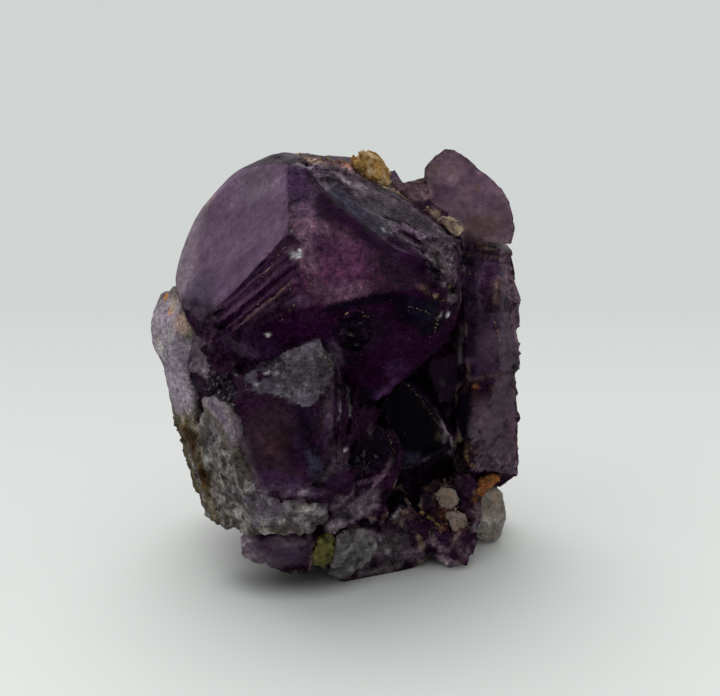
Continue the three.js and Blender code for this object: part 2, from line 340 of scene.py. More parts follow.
def settled(piece):  # the piece with its modifiers worked into a plain mesh
    graph = bpy.context.evaluated_depsgraph_get()
    graph.update()
    mesh = bpy.data.meshes.new_from_object(piece.evaluated_get(graph))
    bpy.data.objects.remove(piece)
    return mesh


def coarseShape(node, shards=()):  # the node's own faceted shape, with extra convex shards added
    shape = bmesh.new()
    shape.from_mesh(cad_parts[node].data)
    bmesh.ops.remove_doubles(shape, verts=shape.verts, dist=0.01 * mm)
    for corners in shards:
        fresh = [shape.verts.new(Vector(c) * mm) for c in corners]
        made = bmesh.ops.convex_hull(shape, input=fresh, use_existing_faces=False)
        bmesh.ops.delete(shape, geom=made["geom_interior"] + made["geom_unused"], context="VERTS")
    mesh = bpy.data.meshes.new(node + "Coarse")
    shape.to_mesh(mesh)
    shape.free()
    return mesh


def fineMesh(coarse, voxel):  # an even, closed skin over the coarse shape
    carrier = added("carrier", coarse)
    skin = carrier.modifiers.new("skin", "REMESH")
    skin.mode = "VOXEL"
    skin.voxel_size = voxel * mm
    fine = settled(carrier)
    shape = bmesh.new()
    shape.from_mesh(fine)
    bmesh.ops.triangulate(shape, faces=shape.faces)
    shape.to_mesh(fine)
    shape.free()
    return fine


def thinned(mesh, limit):  # fewer triangles where the skin is flat
    count = len(mesh.polygons)
    if count <= limit:
        return mesh
    carrier = added("carrier", mesh)
    fewer = carrier.modifiers.new("fewer", "DECIMATE")
    fewer.ratio = limit / count
    return settled(carrier)


def softened(points, triangles, rounds, share=1.0, run=None):
    # each point is drawn towards the middle of its neighbours
    starts, ends = triangles.ravel(), triangles[:, [1, 2, 0]].ravel()
    here, there = np.concatenate([starts, ends]), np.concatenate([ends, starts])
    weight = np.ones(len(here))
    if run is not None:  # only the neighbours lying along this direction count
        way = points[there] - points[here]
        way /= np.maximum(np.linalg.norm(way, axis=1), 1e-9)[:, None]
        weight = np.abs(way @ unit(run)) ** 6 + 1e-3
    count = np.bincount(here, weights=weight, minlength=len(points))[:, None] + 1e-12
    for _ in range(rounds):
        sums = [np.bincount(here, weights=weight * points[there, k], minlength=len(points)) for k in range(3)]
        points = points + (np.stack(sums, axis=1) / count - points) * share
    return points


def facing(points, triangles):  # the way each triangle faces
    corners = points[triangles]
    out = np.cross(corners[:, 1] - corners[:, 0], corners[:, 2] - corners[:, 0])
    return out / np.maximum(np.linalg.norm(out, axis=1), 1e-12)[:, None]


def besideEach(triangles):  # the triangles on both sides of each edge
    sides = {}
    for index, (a, b, c) in enumerate(triangles.tolist()):
        for edge in ((a, b), (b, c), (c, a)):
            sides.setdefault((min(edge), max(edge)), []).append(index)
    return sides


sharpEdge = 18  # degrees between two facets, from which their edge is kept
snapReach = 0.55  # how close to an edge a point is drawn into it, in voxels


def hugged(points, coarsePoints, coarseTriangles, voxel):
    # lays the fine skin on the coarse facets and draws it into their sharp edges;
    # keeps which facet each point lies on, and how far it is from a sharp edge
    tree = BVHTree.FromPolygons(coarsePoints.tolist(), coarseTriangles.tolist())
    out = facing(coarsePoints, coarseTriangles)
    sides = besideEach(coarseTriangles)
    beside = [[] for _ in range(len(coarseTriangles))]
    edges = []
    for (a, b), pair in sides.items():
        for index in pair:
            beside[index] += [other for other in pair if other != index]
        if len(pair) == 2 and out[pair[0]] @ out[pair[1]] < math.cos(math.radians(sharpEdge)):
            edges.append((coarsePoints[a], coarsePoints[b]))
    samples = []
    for index, (a, b) in enumerate(edges):
        count = max(2, int(np.linalg.norm(b - a) / (voxel * 0.5)))
        samples += [(a + (b - a) * k / count, index) for k in range(count + 1)]
    lookup = kdtree.KDTree(len(samples))
    for index, (place, _) in enumerate(samples):
        lookup.insert(place, index)
    lookup.balance()
    moved = points.copy()
    faces = np.zeros(len(points), dtype=int)
    edgeGap = np.zeros(len(points))
    for index, point in enumerate(points):
        place, _, faces[index], distance = tree.find_nearest(point)
        if distance < voxel:
            moved[index] = place
        _, sample, edgeGap[index] = lookup.find(moved[index])
        if edgeGap[index] < voxel * snapReach:
            a, b = edges[samples[sample][1]]
            along = b - a
            share = min(1, max(0, (moved[index] - a) @ along / (along @ along)))
            moved[index] = a + along * share
    return moved, {"tree": tree, "faces": faces, "facing": out, "beside": beside, "edgeGap": edgeGap}


def onFacet(field, place, bend):  # 1 on this facet and those joined to it within this bend
    start = field["tree"].find_nearest(place)[2]
    limit = math.cos(math.radians(bend))
    reached, waiting = {start}, [start]
    while waiting:
        face = waiting.pop()
        for other in field["beside"][face]:
            if other not in reached and field["facing"][other] @ field["facing"][start] > limit:
                reached.add(other)
                waiting.append(other)
    return np.isin(field["faces"], list(reached)).astype(float)


lowestShard = 0.2  # above the floor


def shardCorners(place, size, out, run):  # a block this long, wide and high, facing out
    out = Vector(out).normalized()
    run = (Vector(run) - out * Vector(run).dot(out)).normalized()
    ways = (run, out.cross(run), out)
    corners = []
    for shares in itertools.product((-0.5, 0.5), repeat=3):
        corner = Vector(place)
        for way, length, share in zip(ways, size, shares):
            corner += way * length * share
        corner.z = max(corner.z, lowestShard)
        corners.append(corner)
    return corners


# Paint. A finish is red, green, blue, roughness, clearness. A stroke is its finish, its place, its
# reach, how strongly it is laid and how ragged its edge is. Corners in a list with a radius are a line,
# one place with three radii is a ball, and one place with a bend in degrees is a facet.
# A stroke's place in its list sets its seed.
strokeSettings = {"ballSoft": 0.8, "lineSoft": 0.7, "speckles": (1.6, 0.7), "firstSeed": 300}


def strokeShare(points, field, where, reach, ragged, seed):
    if isinstance(where, list):
        share = nearLine(points, where, reach, strokeSettings["lineSoft"])
    elif isinstance(reach, tuple):
        share = nearBall(points, where, reach, strokeSettings["ballSoft"])
    else:
        share = onFacet(field, where, reach)
    if ragged:
        large, small = strokeSettings["speckles"]
        speckle = 0.6 * smoothNoise(points, large, seed) + 0.4 * smoothNoise(points, small, seed + 1)
        share = share * eased(0.5 + (share - 0.5) * (1 - ragged) * 2 + ragged * speckle * 2.2)
    return share


def laid(finish, other, share):  # the other finish laid over this one
    finish += (np.array(other) - finish) * share[:, None]


def painted(points, field, finishes, finish, strokes):
    if isinstance(finish, str):
        finish = np.tile(np.array(finishes[finish]), (len(points), 1))
    for seed, (name, where, reach, strength, ragged) in enumerate(strokes, strokeSettings["firstSeed"]):
        laid(finish, finishes[name], strength * strokeShare(points, field, where, reach, ragged, seed))
    return finish


def setFinish(mesh, finish):
    tint = mesh.attributes.new("tint", "FLOAT_VECTOR", "POINT")
    tint.data.foreach_set("vector", finish[:, :3].ravel())
    for name, column in (("rough", 3), ("clear", 4)):
        setMask(mesh, name, finish[:, column])


def setMask(mesh, name, values):
    layer = mesh.attributes.new(name, "FLOAT", "POINT")
    layer.data.foreach_set("value", np.clip(values, 0, 1).astype(np.float32))


def mask(tree, name, output="Fac"):
    return linked(tree, "ShaderNodeAttribute", attribute_name=name).outputs[output]


def grain(tree, place, size, detail=3.0, roughness=0.55):  # noise whose lumps are so many millimetres
    values = {"Vector": place, "Scale": 1 / (size * mm), "Detail": detail, "Roughness": roughness}
    return linked(tree, "ShaderNodeTexNoise", values).outputs["Fac"]


def streaks(tree, place, run, across, length, width):  # noise drawn out along one direction
    parts = []
    for way, size in ((run, length), (across, width), (np.cross(run, across), width)):
        parts.append(vectors(tree, "DOT_PRODUCT", {0: place, 1: tuple(unit(way) / (size * mm))}, "Value"))
    joined = linked(tree, "ShaderNodeCombineXYZ", dict(enumerate(parts))).outputs[0]
    return linked(tree, "ShaderNodeTexNoise", {"Vector": joined, "Scale": 1.0, "Detail": 3.0}).outputs["Fac"]


noiseRange = (0.3, 0.7)  # where nearly all of a noise lies


def swung(tree, noise, ends):  # a noise stretched between these two values
    return between(tree, noise, *noiseRange, *ends)


def ridgeLightShadeBands(tree, place, look):  # bands of colour side by side along the streaks: painted light on the blade ridges and painted shade in their grooves
    across = Vector(look["streakAcross"]).normalized()
    down = vectors(tree, "DOT_PRODUCT", {0: place, 1: tuple(-across / mm)}, "Value")
    wander = streaks(tree, place, look["streakRun"], look["streakAcross"], *look["bandsWander"])
    level = maths(tree, "ADD", down, swung(tree, wander, (-0.3, 0.3)))
    top = -Vector(look["bandsStart"]).dot(across)
    made = linked(tree, "ShaderNodeValToRGB", {0: between(tree, level, top, top + look["bandsDepth"])})
    bands, ramp = look["bands"], made.color_ramp.elements
    for element, (down, colour) in zip(list(ramp) + [ramp.new(0.5) for _ in bands[2:]], bands):
        element.color = (*colour, 1)
        element.position = down / look["bandsDepth"]
    return made.outputs[0]


def stoneMaterial(name, look):
    # colour, roughness and clearness come from the paint on the skin, broken up by cloud, fleck and streak
    material = bpy.data.materials.new(name)
    material.use_nodes = True
    tree = material.node_tree
    shader = tree.nodes["Principled BSDF"]
    place = linked(tree, "ShaderNodeTexCoord").outputs["Object"]
    cloud = grain(tree, place, look["cloud"], 4)
    fleck = grain(tree, place, look["fleck"], 4, 0.65)
    fine = grain(tree, place, look["fine"], 3, 0.6)
    streakWays = (look["streakRun"], look["streakAcross"])
    streak = streaks(tree, place, *streakWays, look["streakLength"], look["streakWidth"])
    light = swung(tree, cloud, look["cloudLight"])
    finer = ((fleck, look["fleckLight"]), (streak, look["streakLight"]), (fine, look["fineLight"]))
    for noise, ends in finer:
        light = maths(tree, "MULTIPLY", light, swung(tree, noise, ends))
    busy = mask(tree, "busy")  # broken places, where the pattern is stronger
    power = between(tree, busy, 0, 1, 1.0, look["busyPower"])
    light = maths(tree, "POWER", light, power)
    tint = mask(tree, "tint", "Vector")
    if look["bands"]:  # painted light and shade of the blade ridges and grooves, as bands of colour, only where the piece is marked as banded
        tint = blended(tree, mask(tree, "banded"), tint, ridgeLightShadeBands(tree, place, look))
    shade = linked(tree, "ShaderNodeCombineXYZ", {0: light, 1: light, 2: light}).outputs[0]
    colour = blended(tree, 1.0, tint, shade, "MULTIPLY")
    wander = maths(tree, "SUBTRACT", grain(tree, place, look["veinSize"], 5, 0.6), 0.5)
    vein = between(tree, maths(tree, "ABSOLUTE", wander), 0.0, look["veinWidth"], 1, 0)
    vein = maths(tree, "MULTIPLY", vein, between(tree, cloud, *look["veinClouds"], 0, look["veinShare"]))
    colour = blended(tree, vein, colour, look["veinColour"])
    # painted glints: where the fine noise is highest the colour turns pale, standing in for sparkles of
    # reflected light
    glintFull = look["glintFrom"] + look["glintSoft"]
    glint = between(tree, fine, look["glintFrom"], glintFull, 0, look["glintShare"])
    colour = blended(tree, maths(tree, "MULTIPLY", glint, power), colour, look["glintColour"])
    tree.links.new(colour, shader.inputs["Base Color"])
    rough = maths(tree, "ADD", mask(tree, "rough"), swung(tree, fleck, look["roughSpread"]))
    tree.links.new(rough, shader.inputs["Roughness"])
    tree.links.new(mask(tree, "clear"), shader.inputs["Transmission Weight"])
    shader.inputs["IOR"].default_value = look["ior"]
    shader.inputs["Specular IOR Level"].default_value = look["specular"]
    shader.inputs["Specular Tint"].default_value = (*look["sheenTint"], 1)
    height = maths(tree, "ADD", fine, maths(tree, "MULTIPLY", fleck, look["fleckDepth"]))
    height = maths(tree, "ADD", height, maths(tree, "MULTIPLY", streak, look["streakDepth"]))
    bumpShare = between(tree, mask(tree, "rough"), *look["bumpRough"], look["smoothBump"], 1.0)
    height = maths(tree, "MULTIPLY", height, bumpShare)
    height = maths(tree, "MULTIPLY", height, power)
    bump = linked(tree, "ShaderNodeBump", {"Height": height, "Strength": 1.0, "Distance": look["bump"] * mm})
    tree.links.new(bump.outputs["Normal"], shader.inputs["Normal"])
    if look["density"]:  # light is taken up on its way through the stone
        values = {"Color": (*look["absorption"], 1), "Density": look["density"]}
        volume = linked(tree, "ShaderNodeVolumeAbsorption", values)
        tree.links.new(volume.outputs[0], tree.nodes["Material Output"].inputs["Volume"])
    return material


plainLook = {
    "cloud": 6, "fleck": 0.9, "fine": 0.3,  # sizes of the patterns
    "cloudLight": (0.75, 1.25), "fleckLight": (0.72, 1.3), "fineLight": (0.85, 1.18),  # darkest, lightest
    "streakLight": (0.95, 1.05), "roughSpread": (-0.06, 0.12),
    "streakRun": (0, 0, 1), "streakAcross": (1, 0, 0), "streakLength": 4, "streakWidth": 1.0,
    "streakDepth": 0.0, "fleckDepth": 1.2, "busyPower": 1.0, "bands": [],
    "glintFrom": 0.72, "glintSoft": 0.04, "glintShare": 0.5, "glintColour": (0.8, 0.75, 0.7),
    "veinSize": 4, "veinWidth": 0.02, "veinShare": 0.0, "veinColour": (0.4, 0.3, 0.4),
    "veinClouds": (0.42, 0.6),  # veins show where the clouds are lighter than this
    "ior": 1.5, "specular": 0.4, "sheenTint": (1, 1, 1),
    "bump": 0.12, "bumpRough": (0.1, 0.4), "smoothBump": 0.25,  # the bump is less where the paint is smooth
    "absorption": (0.9, 0.88, 0.88), "density": 0,
}


# Geometry Nodes: grains scattered over a skin, and grains strung along a path
growthSeeds = {"spots": 7, "shift": 3, "turn": 5, "size": 9}


def grainTree(name, sizes, shape, material, mask=None):
    tree = bpy.data.node_groups.new(name, "GeometryNodeTree")
    tree.interface.new_socket("Geometry", in_out="INPUT", socket_type="NodeSocketGeometry")
    for label, value in sizes.items():
        tree.interface.new_socket(label, in_out="INPUT", socket_type="NodeSocketFloat").default_value = value
    tree.interface.new_socket("Geometry", in_out="OUTPUT", socket_type="NodeSocketGeometry")
    given = linked(tree, "NodeGroupInput").outputs
    if mask:
        share = linked(tree, "GeometryNodeInputNamedAttribute", {"Name": mask}, data_type="FLOAT").outputs[0]
        density = maths(tree, "MULTIPLY", share, given["Grains Per Metre Squared"])
        values = {"Mesh": given["Geometry"], "Density": density, "Seed": growthSeeds["spots"]}
        spots = linked(tree, "GeometryNodeDistributePointsOnFaces", values).outputs["Points"]
    else:
        path = linked(tree, "GeometryNodeMeshToCurve", {"Mesh": given["Geometry"]}).outputs[0]
        spots = linked(tree, "GeometryNodeCurveToPoints", {"Curve": path, "Length": given["Spacing"]},
                       mode="LENGTH").outputs["Points"]
    high = given["Spread"]
    low = maths(tree, "MULTIPLY", high, -1)
    low, high = (linked(tree, "ShaderNodeCombineXYZ", {0: v, 1: v, 2: v}).outputs[0] for v in (low, high))
    values = {"Min": low, "Max": high, "Seed": growthSeeds["shift"]}
    shift = linked(tree, "FunctionNodeRandomValue", values, data_type="FLOAT_VECTOR").outputs[0]
    spots = linked(tree, "GeometryNodeSetPosition", {"Geometry": spots, "Offset": shift}).outputs[0]
    values = {"Min": (-3, -3, -3), "Max": (3, 3, 3), "Seed": growthSeeds["turn"]}
    turn = linked(tree, "FunctionNodeRandomValue", values, data_type="FLOAT_VECTOR").outputs[0]
    values = {2: given["Smallest"], 3: given["Largest"], "Seed": growthSeeds["size"]}
    size = linked(tree, "FunctionNodeRandomValue", values, data_type="FLOAT").outputs[1]
    if shape == "cube":
        body = linked(tree, "GeometryNodeMeshCube").outputs["Mesh"]
    else:
        body = linked(tree, "GeometryNodeMeshIcoSphere", {"Radius": 0.5, "Subdivisions": 1}).outputs["Mesh"]
    turned = linked(tree, "FunctionNodeEulerToRotation", {0: turn}).outputs[0]
    values = {"Points": spots, "Instance": body, "Rotation": turned, "Scale": size}
    placed = linked(tree, "GeometryNodeInstanceOnPoints", values).outputs[0]
    solid = linked(tree, "GeometryNodeRealizeInstances", {"Geometry": placed}).outputs[0]
    coated = linked(tree, "GeometryNodeSetMaterial", {"Geometry": solid, "Material": material}).outputs[0]
    linked(tree, "NodeGroupOutput", {0: coated})
    return tree


def grownGrains(mesh, tree, sizes):  # the tree worked over a copy of this mesh, as a plain mesh
    carrier = added("carrier", mesh.copy())
    growth = carrier.modifiers.new("growth", "NODES")
    growth.node_group = tree
    for socket in tree.interface.items_tree:
        if socket.in_out == "INPUT" and socket.name in sizes:
            growth[socket.identifier] = sizes[socket.name]
    grown = settled(carrier)
    finish = None
    if "tint" in grown.attributes:  # each grain keeps the finish of the skin below it
        tint = np.empty(len(grown.vertices) * 3)
        grown.attributes["tint"].data.foreach_get("vector", tint)
        columns = [tint.reshape(-1, 3)]
        for name in ("rough", "clear"):
            column = np.empty(len(grown.vertices))
            grown.attributes[name].data.foreach_get("value", column)
            columns.append(column)
        finish = np.column_stack(columns)
    for name in ("tint", "rough", "clear", "druse", "sugar", "crumb"):
        if name in grown.attributes:
            grown.attributes.remove(grown.attributes[name])
    return grown, finish


# Fluorite: one fine skin over all the grown crystals
stepRun = (0.70, -0.25, 0.67)  # the way the blades beside the broad face run
stepAcross = (-0.48, 0.57, 0.67)  # across those blades
bladeOut = (-0.64, -0.46, 0.61)  # the lit side of each blade
roofOut = (0.46, -0.46, 0.76)
roofRun = (0.87, -0.04, -0.49)  # down the roof to the right

bladeStart = (-15, -15.4, 54.4)  # on the edge between the broad face and the blades

# facets: a place on each, and how far it may bend in degrees
broadFace = ((-19.4, -2.7, 61.4), 12)  # the large pale face on the left
smokyFront = ((-10.9, -23.3, 31.2), 14)
underside = ((6.9, -17.1, 46.2), 34)  # of the upper crystal
blackFace = ((12.4, -7.8, 25), 16)
blackTop = ((16.9, -3.4, 33.1), 14)
slabFace = ((28.3, -0.3, 22), 16)
topBlock = ((20.2, 4.3, 67), 12)

# lines and balls: where, reach, softness
broadFaceRim = ([(-25.5, -8.5, 47.5), (-28.4, -2, 51), (-28.6, 2.6, 55.5),
                 (-24.5, 4.2, 62), (-17, 3, 68.5), (-9, -3, 71.6)], 4.5, 0.6)
bladeLine = ([(-9.4, -17.6, 58.4), (-14, -18, 53.4), (-23.5, -12.5, 46.5)], 4.8, 0.3)
roofLine = [(2, -4.5, 68.5), (18, -6.5, 59.5)]
druseBall = ((-19.5, -16, 35.3), (5.5, 6, 3), 0.5)
darkBall = ((3.2, -15, 21.5), (3.2, 3, 2.6), 0.5)
footBall = ((-11, -20, 6), (6, 4, 5), 0.2)

fluoriteSettings = {
    "node": "fluorite_cluster", "piece": "fluoriteMass", "slot": "fluorite",
    "voxel": 0.34, "triangles": 196000,
    "rimSoften": 140, "rimSwell": 0.9,  # the rim of the broad face, which is rounded
    "look": {
        **plainLook,
        "cloud": 7, "fleck": 1.1,
        "cloudLight": (0.72, 1.32), "fleckLight": (0.7, 1.38), "fineLight": (0.82, 1.2),
        "streakLight": (0.93, 1.07), "streakRun": stepRun, "streakAcross": stepAcross,
        "streakLength": 6, "streakWidth": 0.45, "streakDepth": 0.5, "busyPower": 2.5,
        "bandsStart": bladeStart, "bandsDepth": 9, "bandsWander": (9, 1.6),
        "bands": [  # how far down from the edge of the broad face, colour; the lighter bands are painted light on the ridges, the darker ones painted shade in the grooves
            (0.0, (0.022, 0.004, 0.024)), (0.5, (0.04, 0.008, 0.036)), (0.8, (0.026, 0.003, 0.026)),
            (1.1, (0.034, 0.006, 0.032)), (1.3, (0.11, 0.044, 0.094)), (1.5, (0.09, 0.034, 0.08)),
            (1.7, (0.022, 0.003, 0.022)), (2.0, (0.02, 0.003, 0.02)), (2.2, (0.07, 0.024, 0.062)),
            (2.45, (0.045, 0.012, 0.042)), (2.65, (0.12, 0.052, 0.104)), (2.85, (0.07, 0.024, 0.062)),
            (3.1, (0.13, 0.058, 0.112)), (3.35, (0.05, 0.014, 0.046)), (3.55, (0.018, 0.002, 0.02)),
            (4.3, (0.02, 0.002, 0.021)), (4.55, (0.085, 0.03, 0.074)), (4.9, (0.07, 0.024, 0.062)),
            (5.1, (0.024, 0.004, 0.024)), (5.45, (0.03, 0.006, 0.028)), (5.7, (0.17, 0.1, 0.115)),
            (6.1, (0.12, 0.064, 0.08)), (6.35, (0.045, 0.016, 0.04)), (6.8, (0.06, 0.022, 0.05)),
            (7.0, (0.13, 0.07, 0.1)), (7.25, (0.045, 0.016, 0.04)), (8.0, (0.06, 0.024, 0.05)),
            (9.0, (0.045, 0.016, 0.04)),
        ],
        "glintFrom": 0.70, "glintShare": 0.35, "glintColour": (0.5, 0.4, 0.5),
        "veinSize": 5, "veinWidth": 0.01, "veinShare": 0.06, "veinColour": (0.2, 0.14, 0.2),
        "ior": 1.434, "specular": 0.07, "sheenTint": (1.0, 0.66, 0.96),
        "absorption": (0.36, 0.13, 0.33), "density": 240,
    },
}

fluoriteFinishes = {
    "plum": (0.025, 0.005, 0.023, 0.25, 0.29),
    "frosted": (0.186, 0.113, 0.186, 0.55, 0.2),
    "haze": (0.307, 0.241, 0.285, 0.55, 0.18),
    "smoke": (0.168, 0.128, 0.161, 0.5, 0.18),
    "wine": (0.1, 0.029, 0.076, 0.3, 0.15),
    "maroon": (0.016, 0.0012, 0.016, 0.2, 0.12),
    "dove": (0.088, 0.068, 0.09, 0.45, 0.18),
    "violet": (0.055, 0.019, 0.071, 0.3, 0.27),
    "blush": (0.36, 0.215, 0.26, 0.4, 0.2),
    "rosy": (0.21, 0.105, 0.165, 0.35, 0.25),
    "lilac": (0.097, 0.055, 0.107, 0.35, 0.23),
    "mauve": (0.247, 0.153, 0.201, 0.4, 0.23),
    "slate": (0.049, 0.047, 0.081, 0.35, 0.23),
    "milky": (0.511, 0.449, 0.495, 0.35, 0.16),
    "snow": (0.692, 0.651, 0.667, 0.2, 0.14),
    "ash": (0.122, 0.098, 0.11, 0.4, 0.14),
    "white": (0.95, 0.93, 0.95, 0.3, 0.0),
    "steel": (0.122, 0.108, 0.132, 0.6, 0.12),
    "umber": (0.038, 0.017, 0.028, 0.35, 0.24),
    "brick": (0.066, 0.03, 0.04, 0.35, 0.24),
    "brown": (0.119, 0.069, 0.041, 0.6, 0.07),
    "golden": (0.474, 0.294, 0.114, 0.5, 0.05),
    "rusty": (0.349, 0.126, 0.044, 0.6, 0.02),
    "tan": (0.417, 0.294, 0.208, 0.6, 0.05),
    "navy": (0.006, 0.005, 0.017, 0.2, 0.1),
    "ink": (0.003, 0.002, 0.007, 0.1, 0.14),
    "dusk": (0.012, 0.005, 0.016, 0.2, 0.23),
    "deep": (0.018, 0.0015, 0.02, 0.45, 0.04),
    "black": (0.0008, 0.0007, 0.002, 0.35, 0.03),
}

# shards that stand out of the skin: place, size along three edges, out, run
fluoriteShards = [
    ((12.6, -10, 60.3), (5.8, 2.6, 1.5), roofOut, roofRun),
    ((15.6, -10.4, 58.4), (3.6, 3.2, 1.7), (0.52, -0.5, 0.69), (0.8, 0.1, -0.59)),
    ((17.6, -9.2, 56.6), (3.2, 3, 1.9), (0.6, -0.52, 0.61), (0.7, 0, -0.71)),
    ((17.4, -11.6, 54.4), (2.8, 2.4, 1.9), (0.66, -0.6, 0.46), (0.5, 0.1, -0.86)),
    ((19, -9.8, 52.8), (3.2, 2, 1.8), (0.72, -0.62, 0.3), (0.3, 0, -0.95)),
    ((16.6, -13.1, 51.8), (2.6, 2, 1.5), (0.55, -0.8, 0.2), (0.4, 0.1, -0.9)),
    ((-11.8, -20.1, 39.5), (2.4, 1.5, 1.4), (-0.2, -0.62, 0.76), (0.9, 0, 0.3)),
    ((-13.2, -21.4, 37.6), (3.6, 1, 1), (-0.3, -0.7, 0.64), (0.86, -0.2, -0.3)),
    ((-2.6, -22.7, 36.6), (1, 1.1, 2.6), (0.3, -0.8, 0.5), (1, 0.2, 0)),
    ((2.4, -15.6, 31), (9, 1.2, 1.4), (0.6, -0.8, 0), (0.1, 0, 1)),
    ((-20.2, -12.4, 40.2), (5.4, 2.6, 3), (-0.3, -0.8, 0.5), (0.7, -0.3, -0.6)),
    ((-1.4, -18, 20.4), (7, 5, 5.4), (0.25, -0.9, 0.3), (0.9, 0.3, -0.3)),
    ((0.4, -19.1, 31), (13, 1.3, 1.4), (0.5, -0.86, 0), (0.08, 0, 1)),
    ((1, -17.4, 26.2), (3, 1.6, 1.6), (0.7, -0.7, 0.1), (0.5, 0.3, 0.8)),
    ((21.8, -9.2, 3.2), (6, 4.4, 4.4), (0.2, -0.86, 0.4), (0.5, 0.4, 0.76)),
    ((13.4, -12.2, 8.6), (6, 3, 3), (0.3, -0.9, 0.3), (0.8, 0.3, -0.5)),
    ((5.2, -14.6, 12.4), (5, 3, 3.6), (0.4, -0.8, 0.5), (0.7, 0.2, -0.5)),
    ((-5.2, -18.85, 41.4), (7, 6, 3), (0.1, -0.96, 0.25), (-0.93, -0.2, -0.38)),
    ((-22.4, -10.2, 39.6), (6.4, 4.6, 3.4), (-0.5, -0.8, 0.3), (0.15, 0.25, 1)),
    ((-11.8, -21.7, 20.2), (4.8, 1.9, 2.4), (-0.2, -0.9, 0.42), (0.94, -0.15, -0.28)),
    ((-7.6, -22.1, 19.3), (4.6, 1.9, 2.4), (0.05, -0.9, 0.42), (0.94, -0.05, 0.3)),
    ((-3.4, -21.4, 18.8), (4.6, 2.6, 2.6), (0.3, -0.88, 0.36), (0.9, 0.3, -0.15)),
    ((-18.8, -13, 39.2), (4.6, 3.6, 4.4), (-0.3, -0.85, 0.4), (0.7, -0.3, -0.6)),
    ((1.7, -15.2, 32.8), (5.6, 1.5, 1.8), (0.5, -0.86, 0), (0.1, 0, 1)),
]
bladeDepth = 2.2  # how deep the blades reach into the crystal
# the stepped blades below the broad face: how far down, how far along, length, width, how proud
bladeSteps = [
    (1.3, 0.6, 18, 0.8, 0.05), (3.0, 0.2, 20, 1.5, 0.35), (4.8, 1.2, 18, 0.8, 0.10),
    (6.0, 0.8, 17, 1.0, 0.30), (7.1, 2.0, 12, 0.8, 0.10),
]
for down, along, length, width, proud in bladeSteps:
    place = Vector(bladeStart) - Vector(stepAcross) * down + Vector(stepRun) * along
    place += Vector((-0.48, -0.80, 0.35)) * proud - Vector(bladeOut) * bladeDepth / 2
    fluoriteShards.append((place, (length, width, bladeDepth), bladeOut, stepRun))

